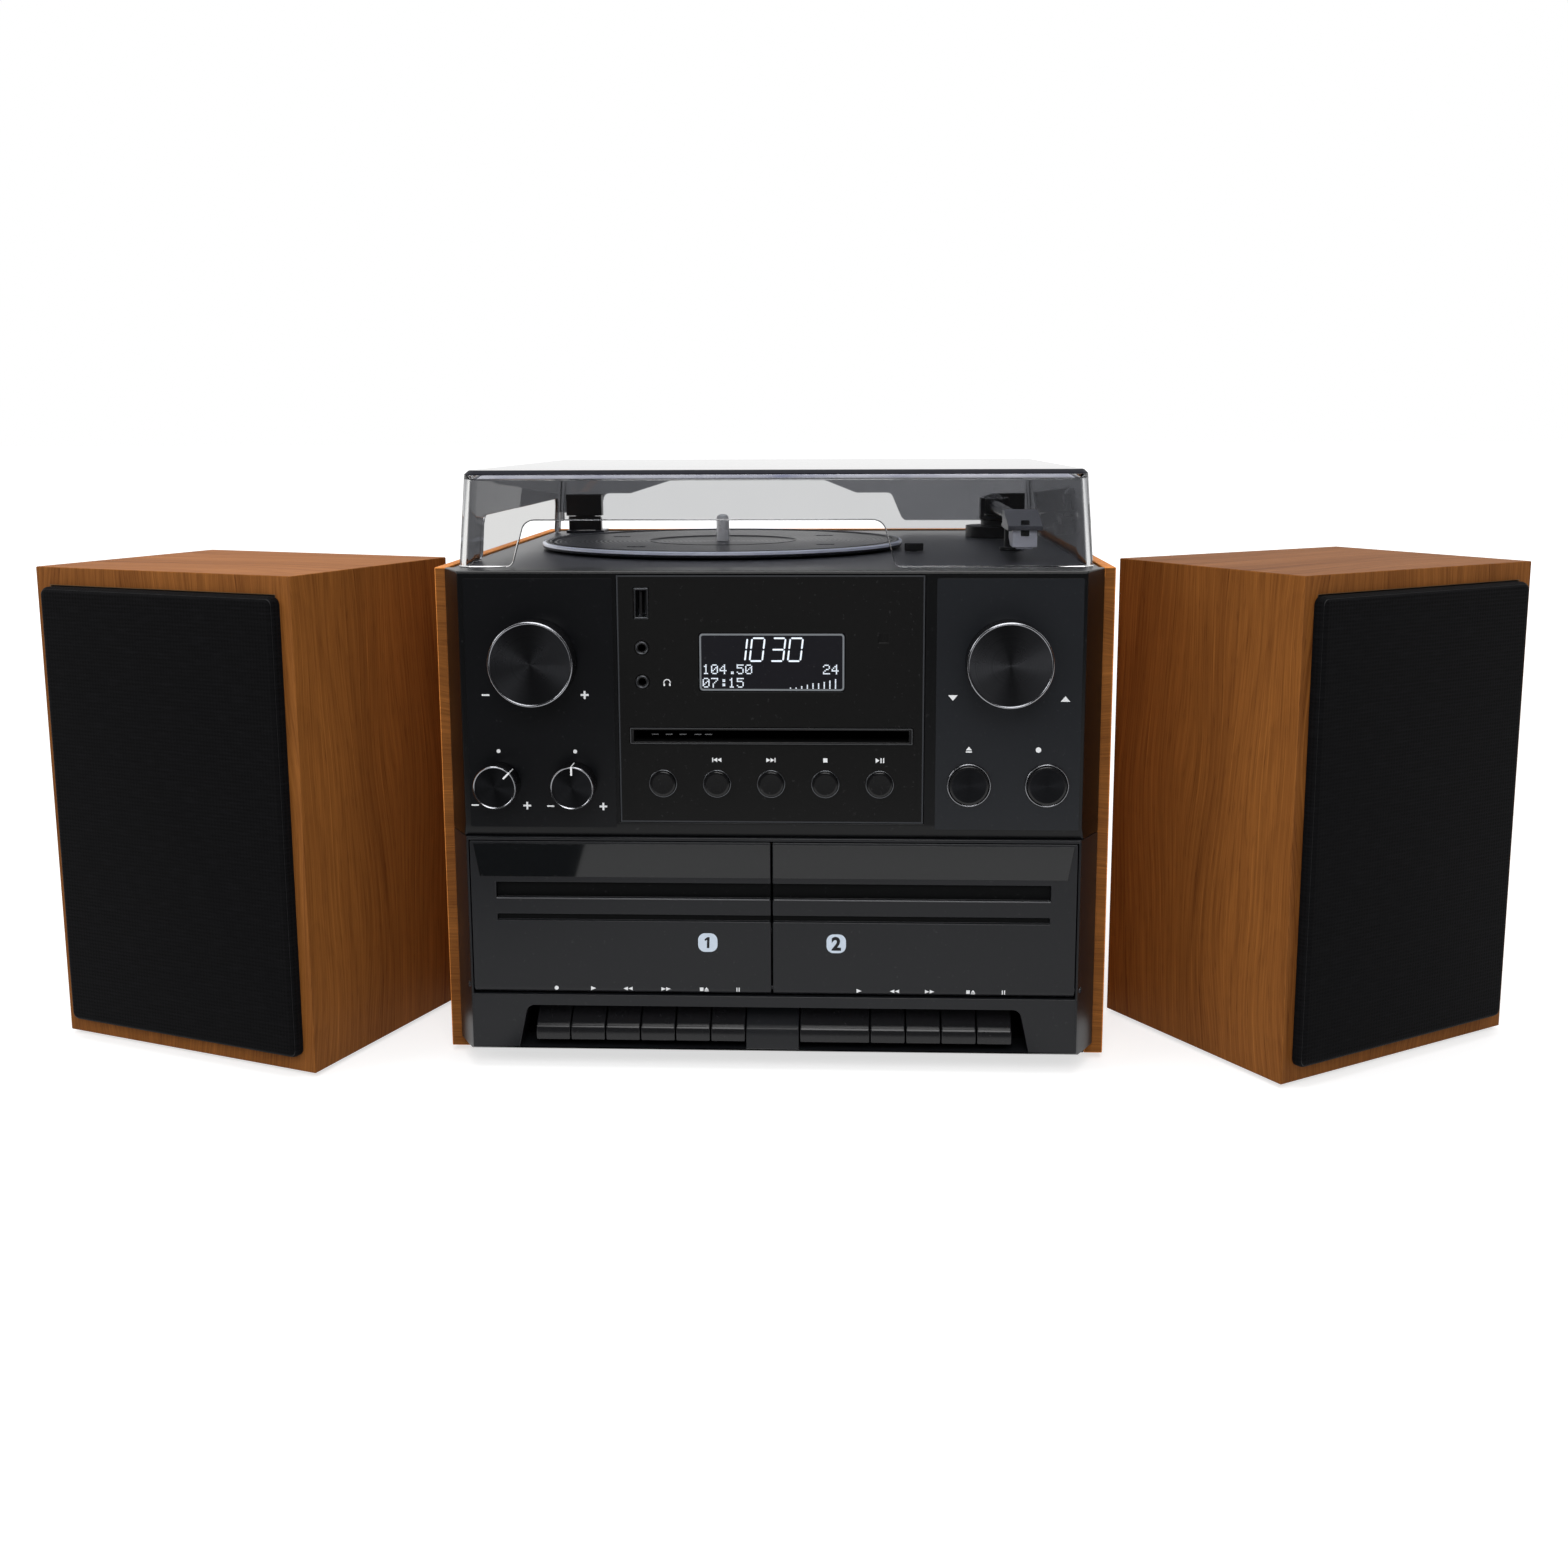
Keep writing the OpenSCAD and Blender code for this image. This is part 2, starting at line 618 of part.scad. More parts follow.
module tonearm_gimbal() color([0.2, 0.2, 0.21]) difference() {
    union() {
        translate([arm_x, arm_y, deck_z + 1.4]) cylinder(r = shaft_r, h = arm_column_h);
        translate([arm_x, arm_y, deck_z + arm_column_h + slide_fit]) cylinder(r = 9, h = 2);
        for (s = [0, 1]) translate([arm_x, 0, 0]) mirror([s, 0, 0])
            block(ear_x, ear_x + ear_t, arm_y - 5, arm_y + 5, deck_z + arm_column_h + 1, arm_z + 5);
    }
    rod_x(arm_x - 10, arm_x + 10, arm_y, arm_z, pin_r + run_fit);
}

module tonearm() {
    color("silver") union() {
        block(arm_x - ear_x + slide_fit, arm_x + ear_x - slide_fit, arm_y - 7, arm_y + 7,
            arm_z - arm_r - 1, arm_z + arm_r + 1);
        rod_x(arm_x - ear_x - ear_t, arm_x + ear_x + ear_t, arm_y, arm_z, pin_r);
        rod_y(arm_x, arm_z, head_y + head_l - 1, arm_y - 6, arm_r);
        rod_y(arm_x, arm_z, arm_y + 6, arm_y + 26, 2.5);
        rod_y(arm_x, arm_z, arm_y + 10, arm_y + 24, 7.5);
    }
    color([0.3, 0.3, 0.32]) difference() {
        side_prism(arm_x - head_w / 2, arm_x + head_w / 2) polygon([
            [head_y, arm_z - 3.5], [head_y, head_top(0)], [head_y + head_l - 9, head_top(head_l - 9)],
            [head_y + head_l, head_top(head_l - 9)], [head_y + head_l, arm_z - 3.5]]);
        side_prism(arm_x - head_w / 2 + 2, arm_x + head_w / 2 - 2) polygon([
            [head_y - 1, arm_z - 4], [head_y - 1, head_top(-1) - 2.2],
            [head_y + head_l - 9, head_top(head_l - 9) - 2.2],
            [head_y + head_l - 4, head_top(head_l - 9) - 2.2], [head_y + head_l - 4, arm_z - 4]]);
    }
}

// Height of the headshell's sloping top, that far behind its front
function head_top(y) = arm_z - 1 + y * head_slope;

module cartridge() color("lightsteelblue") union() {
    side_prism(arm_x - 6, arm_x + 6) polygon([[head_y + 2, arm_z - 11.5], [head_y + 2, head_top(2) - 2.22],
        [head_y + 24, head_top(24) - 2.22], [head_y + 24, arm_z - 8], [head_y + 16, arm_z - 11.5]]);
    block(arm_x - 4, arm_x + 4, arm_y - arm_len - 5, arm_y - arm_len + 6, platter_z + 1.6, arm_z - 11);
    translate([arm_x, arm_y - arm_len, platter_z + 0.5]) cylinder(r1 = 0.3, r2 = 1.2, h = 2);
}

module cue_lever() color("dimgray") union() {
    rod_x(cue_x - 4.8, cue_x + 2, cue_y, cue_z, pin_r);
    rod_x(cue_x - 1.5, cue_x + 1.5, cue_y, cue_z, 3);
    block(cue_x - 1.5, cue_x + 1.5, cue_y - 26, cue_y, cue_z - 1.5, cue_z + 1.5);
    block(cue_x - 3, cue_x + 3, cue_y - 32, cue_y - 25, cue_z - 2, cue_z + 2.5);
}

module speed_lever() color("black") union() {
    block(speed_x - 5, speed_x + 5, speed_y - 3, speed_y + 3, deck_z + slide_fit, deck_z + 4.5);
    block(speed_x - 1.6, speed_x + 1.6, speed_y - 1.6, speed_y + 1.6, deck_z - deck_t - 2, deck_z + 1);
    block(speed_x - 4, speed_x + 4, speed_y - 4, speed_y + 4,
        deck_z - deck_t - 2, deck_z - deck_t - slide_fit);
}

// ---------- dust cover ----------

// One level of the cover's outline, as a thin slab with round corners
module lid_level(z, inset, r) for (sx = [-1, 1], y = [lid_front + inset + r, lid_back - inset - r])
    translate([sx * (lid_half - inset - r), y, z]) cylinder(r = r, h = 0.01, $fn = 32);

module lid_body(inset, top) hull() {
    lid_level(lid_z - inset, inset, lid_corner - inset);
    lid_level(top - lid_edge, inset + lid_draft, lid_corner - inset);
    lid_level(top - 0.01, inset + lid_draft + lid_edge, lid_corner - inset);
}

// A cut in one wall whose lower corners flare out to the wall's lower edge
module flared(low, left, right, r) offset(r = -r, $fn = 48) offset(delta = r) union() {
    children();
    translate([left, low - 12.01]) square([right - left, 12]);
}

module dust_cover() color([0.4, 0.4, 0.42, 0.4]) difference() {
    lid_body(0, lid_top);
    lid_body(lid_t, lid_top - lid_t);
    // room for a record that is wider than the cover: at the front, at the left and behind
    front_prism(platter_x, 0, lid_front - 1, lid_front + 12) flared(lid_z, -98, 98, 4) hull() {
        for (s = [-1, 1]) translate([s * 75, lid_z + 16]) circle(6, $fn = 32);
        translate([-88, lid_z - 10]) square([176, 1]);
    }
    side_prism(-lid_half - 1, -lid_half + 12)
        flared(lid_z, platter_y - 102, lid_back - 10, 4) hull() {
            for (y = [platter_y - 88, lid_back - 24]) translate([y, lid_z + 16]) circle(6, $fn = 32);
            translate([platter_y - 94, lid_z - 10]) square([lid_back - platter_y + 76, 1]);
        }
    front_prism(platter_x, 0, lid_back - 12, lid_back + 1)
        offset(r = -6, $fn = 48) offset(delta = 6) offset(r = 4, $fn = 48) offset(delta = -4)
            polygon([[-96, lid_z - 10], [-96, lid_z + rear_lift - 1], [-90, lid_z + rear_lift],
                [-86, lid_z + 24.5], [-69, lid_z + 24.5], [-32, lid_z + 36], [45, lid_z + 36],
                [74, lid_z + 24.5], [96, lid_z + 24.5], [103.5, lid_z + rear_lift],
                [110, lid_z + rear_lift - 1], [110, lid_z - 10]]);
    // raised rear edge, higher still over the hinges
    block(-lid_half - 1, lid_half + 1, lid_back - lid_corner - 1, lid_back + 1,
        lid_z - 10, lid_z + rear_lift);
    for (s = [-1, 1]) block(s * hinge_x - 14, s * hinge_x + 14, lid_back - 12, lid_back + 1,
        lid_z - 1, lid_z + rear_lift + 5.5);
}

module hinge_brackets() for (s = [-1, 1]) color("dimgray") translate([s * hinge_x, 0, 0]) union() {
    block(-12, 12, hinge_y - 5, deck_back - 1, deck_z, deck_z + 1.6);
    for (e = [0, 1]) mirror([e, 0, 0]) {
        block(hinge_barrel_w / 2 + slide_fit, hinge_barrel_w / 2 + 4, hinge_y - hinge_r, hinge_y + hinge_r,
            deck_z, hinge_z);
        rod_x(hinge_barrel_w / 2 + slide_fit, hinge_barrel_w / 2 + 4, hinge_y, hinge_z, hinge_r);
    }
    rod_x(-hinge_barrel_w / 2 - 3, hinge_barrel_w / 2 + 3, hinge_y, hinge_z, rod_r);
}

module lid_hinge_arms() for (s = [-1, 1]) color("black") translate([s * hinge_x, 0, 0]) difference() {
    union() {
        block(-hinge_block_w / 2, hinge_block_w / 2, hinge_y - 7, lid_back - lid_t - lid_draft * 0.8,
            hinge_z + hinge_r + 1, hinge_z + 17);
        block(-hinge_barrel_w / 2, hinge_barrel_w / 2, hinge_y - hinge_r, hinge_y + hinge_r / 2,
            hinge_z, hinge_z + hinge_r + 2);
        rod_x(-hinge_barrel_w / 2, hinge_barrel_w / 2, hinge_y, hinge_z, hinge_r);
    }
    rod_x(-hinge_barrel_w, hinge_barrel_w, hinge_y, hinge_z, rod_r + run_fit);
}

// ---------- controls ----------

module control_shaft(x) color("silver")
    rod_y(x, knob_z, face_y - knob_h + 4, face_y + fascia_wall + boss_h + encoder_h - 3.5, shaft_r);

// Turned knob with a raised rim round a shallow dished face
module big_knob(x) color([0.15, 0.15, 0.16]) translate([x, face_y, knob_z]) rotate([90, 0, 0])
    rotate_extrude($fn = 96) polygon([[shaft_r + run_fit, knob_push + 0.5],
        [knob_r - 0.5, knob_push + 0.5], [knob_r, knob_push + 1], [knob_r - 0.6, knob_h - 0.8],
        [knob_r - 1.2, knob_h], [knob_r - 2.2, knob_h], [knob_r - 2.8, knob_h - 0.8],
        [0, knob_h - 0.8], [0, knob_h - 3.6], [shaft_r + run_fit, knob_h - 3.6]]);

// Tone knob whose pointer is turned clockwise from straight up
module tone_knob(x, turn) color([0.15, 0.15, 0.16]) translate([x, face_y, row_z]) rotate([90, 0, 0])
    rotate(-turn) difference() {
    union() {
        rotate_extrude($fn = 72) polygon([[0, 0.5], [tone_r - 0.4, 0.5], [tone_r, 1],
            [tone_r - 0.4, tone_h - 0.6], [tone_r - 0.9, tone_h], [tone_r - 1.6, tone_h],
            [tone_r - 2, tone_h - 0.5], [0, tone_h - 0.5]]);
        translate([0, 0, -fascia_wall - boss_h - encoder_h + 4])
            cylinder(r = shaft_r, h = fascia_wall + boss_h + encoder_h);
    }
    translate([-0.6, 1.5, tone_h - 1]) cube([1.2, tone_r - 3.6, 2]);
}

// Button that stands proud of the front by a little more than its travel
module push_button(x, r, proud, travel) color([0.13, 0.13, 0.14]) union() {
    rod_y(x, row_z, face_y - proud - travel, face_y + fascia_wall + slide_fit + 0.6, r);
    rod_y(x, row_z, face_y + fascia_wall + slide_fit, face_y + fascia_wall + slide_fit + 1, r + 1);
}

// ---------- cassette doors and keys ----------

module cassette_door(s) color([0.18, 0.18, 0.2]) mirror([s < 0 ? 1 : 0, 0, 0]) difference() {
    union() {
        block(door_gap, door_half, face_y, face_y + door_t, door_axis_z, door_z + door_h);
        block(door_gap, door_half, door_axis_y, face_y + door_t, door_z, door_axis_z + 1);
        rod_x(door_gap, door_half, door_axis_y, door_axis_z, hinge_rad);
        // carrier that holds the cassette behind the door
        block(door_mid - well_half, door_mid + well_half, face_y + door_t - 1, face_y + 17,
            door_z + 5, door_z + 7);
        for (dx = [-well_half, well_half - 2]) block(door_mid + dx, door_mid + dx + 2,
            face_y + door_t - 1, face_y + 17, door_z + 5, door_z + 46);
    }
    rod_x(0, door_half + 1, door_axis_y, door_axis_z, rod_r + run_fit);
    // finger groove and thin groove across the door
    block(0, door_half - 12.2, face_y - 1, face_y + 2.5, door_z + 47, door_z + 54.7);
    block(0, door_half - 12.4, face_y - 1, face_y + 1.5, door_z + 36.1, door_z + 39.1);
}

// Piano key between two places across the front; it turns on the rod behind
module piano_key(x0, x1) color([0.2, 0.2, 0.21]) difference() {
    union() {
        side_prism(x0 + piano_slit / 2, x1 - piano_slit / 2) polygon([
            [face_y + key_front + 0.4, key_low], [face_y + key_front, key_nose],
            [face_y + key_front + key_lean, key_step],
            [face_y + key_front + key_slope, key_top], [face_y + key_back, key_top],
            [face_y + key_back, key_axis_z + 4], [key_axis_y, key_axis_z + 4], [key_axis_y, key_axis_z - 4],
            [face_y + key_back - 4, key_axis_z - 4], [face_y + key_back - 4, key_low]]);
        rod_x(x0 + piano_slit / 2, x1 - piano_slit / 2, key_axis_y, key_axis_z, 4);
    }
    rod_x(x0, x1, key_axis_y, key_axis_z, rod_r + run_fit);
}

module left_key(n) piano_key(-blank_half - (7 - n) * piano_gap, -blank_half - (6 - n) * piano_gap);

// The first key of the right-hand row is twice as wide
module right_key(n) piano_key(blank_half + (n == 1 ? 0 : n) * piano_gap, blank_half + (n + 1) * piano_gap);

// ---------- loudspeakers ----------

// Local frame of a loudspeaker: the middle of its front's lower edge, +Y into the box
module at_speaker(side) {
    place = side < 0 ? left_place : right_place;
    translate([place[0], place[1], 0]) rotate(side < 0 ? left_turn : right_turn)
        translate([side * sp_w / 2, 0, 0]) children();
}

module speaker_cabinets() for (side = [-1, 1]) color("peru") at_speaker(side) difference() {
    block(-sp_w / 2, sp_w / 2, 0, sp_d, sp_foot_h, sp_h);
    block(-sp_w / 2 + sp_wall, sp_w / 2 - sp_wall, -1, sp_d - sp_wall, sp_foot_h + sp_wall, sp_h - sp_wall);
}

module speaker_baffles() for (side = [-1, 1]) color("black") at_speaker(side) difference() {
    block(-sp_w / 2 + sp_wall, sp_w / 2 - sp_wall, baffle_inset, baffle_inset + baffle_t,
        sp_foot_h + sp_wall, sp_h - sp_wall);
    rod_y(0, woofer_z, 0, baffle_t + 2, woofer_r - 6);
    rod_y(0, tweeter_z, 0, baffle_t + 2, tweeter_r - 4);
    for (sx = [-1, 1], z = [peg_low, sp_h - peg_low]) rod_y(sx * peg_dx, z, -1, peg_l + 1, peg_r + run_fit);
}

// Driver with its flange on the baffle, an open cone and a magnet behind
module driver(z, r, depth) {
    translate([0, baffle_inset, z]) rotate([-90, 0, 0]) rotate_extrude($fn = 96) polygon([
        [r, 0], [r, -1.6], [r - 4, -1.6], [r - 6.3, 1], [r * 0.4, depth * 0.45], [0, depth * 0.4],
        [0, depth], [r * 0.55, depth], [r * 0.55, depth * 0.6], [r - 6.3, 9.2], [r - 6.3, 0]]);
}

module speaker_drivers() for (side = [-1, 1]) color("dimgray") at_speaker(side) {
    driver(woofer_z, woofer_r, 52);
    driver(tweeter_z, tweeter_r, 24);
}

// Cloth-covered frame, drawn as a frame with a thin front, on four pegs
module grille(side) color([0.05, 0.05, 0.06]) at_speaker(side) union() {
    difference() {
        block(-sp_w / 2 + grille_margin, sp_w / 2 - grille_margin, -grille_out, -0.1,
            sp_foot_h + grille_margin + 1.5, sp_h - grille_margin - 3);
        block(-sp_w / 2 + grille_margin + frame_w, sp_w / 2 - grille_margin - frame_w, -grille_out + 1.2, 1,
            sp_foot_h + grille_margin + 1.5 + frame_w, sp_h - grille_margin - 3 - frame_w);
    }
    for (sx = [-1, 1], z = [peg_low, sp_h - peg_low])
        rod_y(sx * peg_dx, z, -1, baffle_inset + peg_l - 1, peg_r);
}

cabinet_shell();
base_plate();
rubber_feet();
turntable_deck();
front_fascia();
display_panel();
lcd_module();
cd_mechanism();
cassette_surround();
cassette_mechanisms();
pivot_rods();
circuit_boards();
transformer();
turntable_motor();
drive_belt();
tonearm_base();
hinge_brackets();
rear_socket_plates();
front_sockets();
speaker_cabinets();
speaker_baffles();
speaker_drivers();
grille(-1);  // left_grille
grille(1);  // right_grille
dust_cover();
lid_hinge_arms();
platter();
record_spindle();
motor_pulley();
tonearm_gimbal();
tonearm();
cartridge();
cue_lever();
speed_lever();
control_shaft(-knob_x);  // volume_shaft
big_knob(-knob_x);  // volume_knob
control_shaft(knob_x);  // select_shaft
big_knob(knob_x);  // select_knob
tone_knob(tone_x[0], bass_turn);  // bass_knob
tone_knob(tone_x[1], treble_turn);  // treble_knob
push_button(round_x[0], round_r, 0.8, round_travel);  // eject_button
push_button(round_x[1], round_r, 0.8, round_travel);  // record_button
push_button(-2 * key_gap, key_r, 0.5, key_travel);  // panel_button_1
push_button(-key_gap, key_r, 0.5, key_travel);  // panel_button_2
push_button(0, key_r, 0.5, key_travel);  // panel_button_3
push_button(key_gap, key_r, 0.5, key_travel);  // panel_button_4
push_button(2 * key_gap, key_r, 0.5, key_travel);  // panel_button_5
cassette_door(-1);  // cassette_door_1
cassette_door(1);  // cassette_door_2
left_key(1);  // key_1_1
left_key(2);  // key_1_2
left_key(3);  // key_1_3
left_key(4);  // key_1_4
left_key(5);  // key_1_5
left_key(6);  // key_1_6
right_key(1);  // key_2_1
right_key(2);  // key_2_2
right_key(3);  // key_2_3
right_key(4);  // key_2_4
right_key(5);  // key_2_5
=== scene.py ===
"""Stereo music centre: finishes and fine parts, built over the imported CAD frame.

Metres. +X is right, +Y is back, +Z is up, and the origin is the middle of the main
unit's footprint on the surface that it stands on.
"""

import json
import math

import bmesh
import bpy
from mathutils import Matrix, Vector

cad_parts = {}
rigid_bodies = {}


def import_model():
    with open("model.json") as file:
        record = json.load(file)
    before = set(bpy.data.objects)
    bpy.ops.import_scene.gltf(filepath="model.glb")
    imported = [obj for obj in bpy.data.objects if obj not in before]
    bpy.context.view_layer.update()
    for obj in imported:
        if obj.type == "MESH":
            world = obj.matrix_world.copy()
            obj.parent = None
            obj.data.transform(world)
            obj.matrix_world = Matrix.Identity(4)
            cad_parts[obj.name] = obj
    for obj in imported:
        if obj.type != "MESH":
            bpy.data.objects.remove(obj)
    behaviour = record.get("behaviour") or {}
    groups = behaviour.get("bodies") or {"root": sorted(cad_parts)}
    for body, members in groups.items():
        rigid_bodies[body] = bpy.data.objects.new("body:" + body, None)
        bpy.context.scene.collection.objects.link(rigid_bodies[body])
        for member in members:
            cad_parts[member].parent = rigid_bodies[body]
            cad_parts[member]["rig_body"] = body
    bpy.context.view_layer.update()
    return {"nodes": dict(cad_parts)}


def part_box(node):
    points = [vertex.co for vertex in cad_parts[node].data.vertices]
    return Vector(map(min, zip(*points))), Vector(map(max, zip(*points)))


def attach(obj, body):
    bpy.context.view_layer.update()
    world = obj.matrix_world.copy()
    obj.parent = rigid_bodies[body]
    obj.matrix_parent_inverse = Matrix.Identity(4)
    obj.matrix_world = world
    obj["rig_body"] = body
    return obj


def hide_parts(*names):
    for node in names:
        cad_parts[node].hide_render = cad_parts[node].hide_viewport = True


bl_info = {
    "name": "Stereo music centre",
    "version": (1, 0, 0),
    "blender": (4, 5, 0),
    "location": "View3D > Sidebar > Music centre",
    "description": "Finishes and fine parts of a stereo music centre over its CAD frame",
    "category": "Object",
}

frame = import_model()
NODES = frame["nodes"]

# Places that the CAD fixes, in metres
FACE_Y = -0.1725
ROW_Z = 0.1405
KNOB_X, KNOB_Z = 0.109, 0.1984
TONE_X = (-0.1278, -0.0917)
ROUND_X = (0.0919, 0.1279)
BUTTON_X = [(i - 2) * 0.0253 for i in range(5)]
PANEL_W, PANEL_Z, PANEL_H = 0.1416, 0.180, 0.116
LCD_X, LCD_Z, LCD_W, LCD_H = 0.0006, 0.1978, 0.0674, 0.0271
SLOT_Z = 0.1632
SOCKET_X, USB_Z, JACK_Z = -0.0595, 0.225, (0.2044, 0.1886)
DOOR_EDGE_X, DOOR_STRIP_Z = 0.0007, (0.0951, 0.1112)
PLATTER_X, PLATTER_Y = -0.035, -0.0025
SPEAKERS = {
    "left": (Vector((-0.28935, -0.16153, 0)), math.radians(-21.0)),
    "right": (Vector((0.30286, -0.14616, 0)), math.radians(32.5)),
}

PLATE_RISE = 0.00025  # the thin plates beside the panel stand this far out of the front
DOT_PITCH = 0.00066  # of the display


def srgb(red, green, blue):
    """Scene-linear colour of a screen colour from 0 to 255"""
    return tuple(
        c / 12.92 if c <= 0.04045 else ((c + 0.055) / 1.055) ** 2.4
        for c in (red / 255, green / 255, blue / 255)
    )


# ---------- settings ----------


def colour(name, text, value):
    return bpy.props.FloatVectorProperty(
        name=name, description=text, subtype="COLOR", size=3, min=0, max=1, default=value
    )


def length(name, text, value, low, high):
    return bpy.props.FloatProperty(
        name=name, description=text, default=value, min=low, max=high, unit="LENGTH", precision=5
    )


def amount(name, text, value, high):
    return bpy.props.FloatProperty(name=name, description=text, default=value, min=0, max=high)


class MusicCentreColours(bpy.types.PropertyGroup):
    wood_pale: colour("Pale wood", "Light fibres of the walnut foil", srgb(182, 116, 54))
    wood_deep: colour("Deep wood", "Dark fibres and figure of the walnut foil", srgb(92, 48, 18))
    front_black: colour("Front", "Moulded front of the main unit", srgb(9, 10, 12))
    panel_black: colour("Panel", "Glossy centre panel", srgb(24, 24, 24))
    door_black: colour("Doors", "Cassette doors and their surround", srgb(26, 27, 30))
    key_black: colour("Keys", "Piano keys", srgb(24, 24, 26))
    deck_grey: colour("Deck", "Top deck of the record player", srgb(48, 49, 54))
    print_white: colour("Print", "Symbols on the front", srgb(226, 228, 230))
    digit_white: colour("Digits", "Lit parts of the display", srgb(214, 222, 232))
    badge_blue: colour("Badges", "Pale badges on the cassette doors", srgb(196, 208, 222))
    cloth_black: colour("Grille cloth", "Threads of the loudspeaker cloth", srgb(12, 12, 14))
    chrome: colour("Chrome", "Bright rims of the knobs and buttons", srgb(168, 169, 174))


class MusicCentreSizes(bpy.types.PropertyGroup):
    edge: length("Edge radius", "Rounding of moulded edges", 0.0005, 0.0001, 0.002)
    wood_edge: length("Wood edge", "Rounding of the boards' edges", 0.0005, 0.0001, 0.003)
    ring_wire: length("Trim wire", "Thickness of the bright rings", 0.0007, 0.0002, 0.002)
    print_rise: length("Print", "Height of the print above its surface", 0.00005, 0.00002, 0.0003)
    thread: length("Thread pitch", "Distance between threads of the cloth", 0.0009, 0.0004, 0.003)
    cloth_edge: length("Cloth edge", "Rounding of the cloth over its frame", 0.0032, 0.001, 0.005)


class MusicCentreStage(bpy.types.PropertyGroup):
    world_fill: amount("Fill", "Even light from all round", 0.45, 2)
    key_power: amount("Key lamp", "Power of the lamp at the front, in watts", 26, 500)
    top_power: amount("Top lamp", "Power of the lamp above, in watts", 39, 500)
    side_power: amount("Side lamp", "Power of the lamp at the side, in watts", 14, 500)
    lens: bpy.props.FloatProperty(
        name="Lens", description="Focal length of the camera", default=38.39, unit="CAMERA"
    )


def colours():
    return bpy.context.scene.music_centre_colours


def sizes():
    return bpy.context.scene.music_centre_sizes


def staging():
    return bpy.context.scene.music_centre_stage


# ---------- node trees ----------

MADE = {}


def once(build):
    """What a builder makes is made once for each name, and found again after that"""

    def fetch(*args):
        key = (build.__name__, *args)
        if key not in MADE:
            MADE[key] = build(*args)
        return MADE[key]

    return fetch


class Graph:
    """Places nodes in one tree; an input is a socket to link or a plain value"""

    def __init__(self, tree):
        self.tree = tree

    def feed(self, socket, value):
        if isinstance(value, bpy.types.NodeSocket):
            self.tree.links.new(value, socket)
        else:
            socket.default_value = value

    def node(self, kind, inputs=None, **settings):
        made = self.tree.nodes.new(kind)
        for key, value in settings.items():
            setattr(made, key, value)
        for key, value in (inputs or {}).items():
            self.feed(made.inputs[key], value)
        return made

    def math(self, operation, a, b=0.0, c=0.0, clamp=False):
        inputs = {0: a, 1: b, 2: c}
        return self.node("ShaderNodeMath", inputs, operation=operation, use_clamp=clamp).outputs[0]

    def add(self, a, b):
        return self.math("ADD", a, b)

    def sub(self, a, b):
        return self.math("SUBTRACT", a, b)

    def mul(self, a, b):
        return self.math("MULTIPLY", a, b)

    def mad(self, a, b, c, clamp=False):
        """a times b, plus c"""
        return self.math("MULTIPLY_ADD", a, b, c, clamp)

    def radius(self, a, b):
        return self.math("SQRT", self.add(self.math("POWER", a, 2.0), self.math("POWER", b, 2.0)))

    def scaled(self, vector, by):
        return self.node("ShaderNodeVectorMath", {0: vector, 1: by}, operation="MULTIPLY").outputs[0]

    def remap(self, value, low, high, to_low=0.0, to_high=1.0, smooth=False):
        inputs = {"Value": value, "From Min": low, "From Max": high, "To Min": to_low, "To Max": to_high}
        kind = "SMOOTHSTEP" if smooth else "LINEAR"
        return self.node("ShaderNodeMapRange", inputs, interpolation_type=kind).outputs["Result"]

    def mix(self, factor, a, b):
        """Colour a where the factor is 0, b where it is 1"""
        return self.node("ShaderNodeMix", {0: factor, 6: rgba(a), 7: rgba(b)}, data_type="RGBA").outputs[2]

    def mix_shader(self, factor, a, b):
        return self.node("ShaderNodeMixShader", {0: factor, 1: a.outputs[0], 2: b.outputs[0]})

    def noise(self, vector, scale, detail=2.0, rough=0.5):
        inputs = {"Vector": vector, "Scale": scale, "Detail": detail, "Roughness": rough}
        return self.node("ShaderNodeTexNoise", inputs).outputs["Fac"]

    def split(self, vector):
        return self.node("ShaderNodeSeparateXYZ", {0: vector}).outputs[:3]

    def join(self, x, y, z):
        return self.node("ShaderNodeCombineXYZ", {0: x, 1: y, 2: z}).outputs[0]

    def where(self, kind="Object"):
        return self.node("ShaderNodeTexCoord").outputs[kind]

    def uv(self, name):
        return self.node("ShaderNodeUVMap", uv_map=name).outputs[0]


def rgba(value):
    """A colour of three numbers gets its alpha; a socket or a full colour stays"""
    return (*value, 1.0) if not isinstance(value, bpy.types.NodeSocket) and len(value) == 3 else value


def open_group(name, kind, inputs, outputs):
    """A new node group with its named sockets: its graph and its input sockets"""
    tree = bpy.data.node_groups.new(name, kind)
    for label, sort, value in inputs:
        made = tree.interface.new_socket(label, in_out="INPUT", socket_type="NodeSocket" + sort)
        if value is not None:
            made.default_value = value
    for label, sort in outputs:
        tree.interface.new_socket(label, in_out="OUTPUT", socket_type="NodeSocket" + sort)
    return Graph(tree), tree.nodes.new("NodeGroupInput").outputs


def shader_group(name, inputs):
    """Every group of a finish takes a place and gives a colour, a roughness and a height"""
    outputs = [("Color", "Color"), ("Roughness", "Float"), ("Height", "Float")]
    return open_group(name, "ShaderNodeTree", [("Vector", "Vector", None), *inputs], outputs)


def close_group(graph, tone, rough, height):
    graph.node("NodeGroupOutput", {"Color": tone, "Roughness": rough, "Height": height})
    return graph.tree


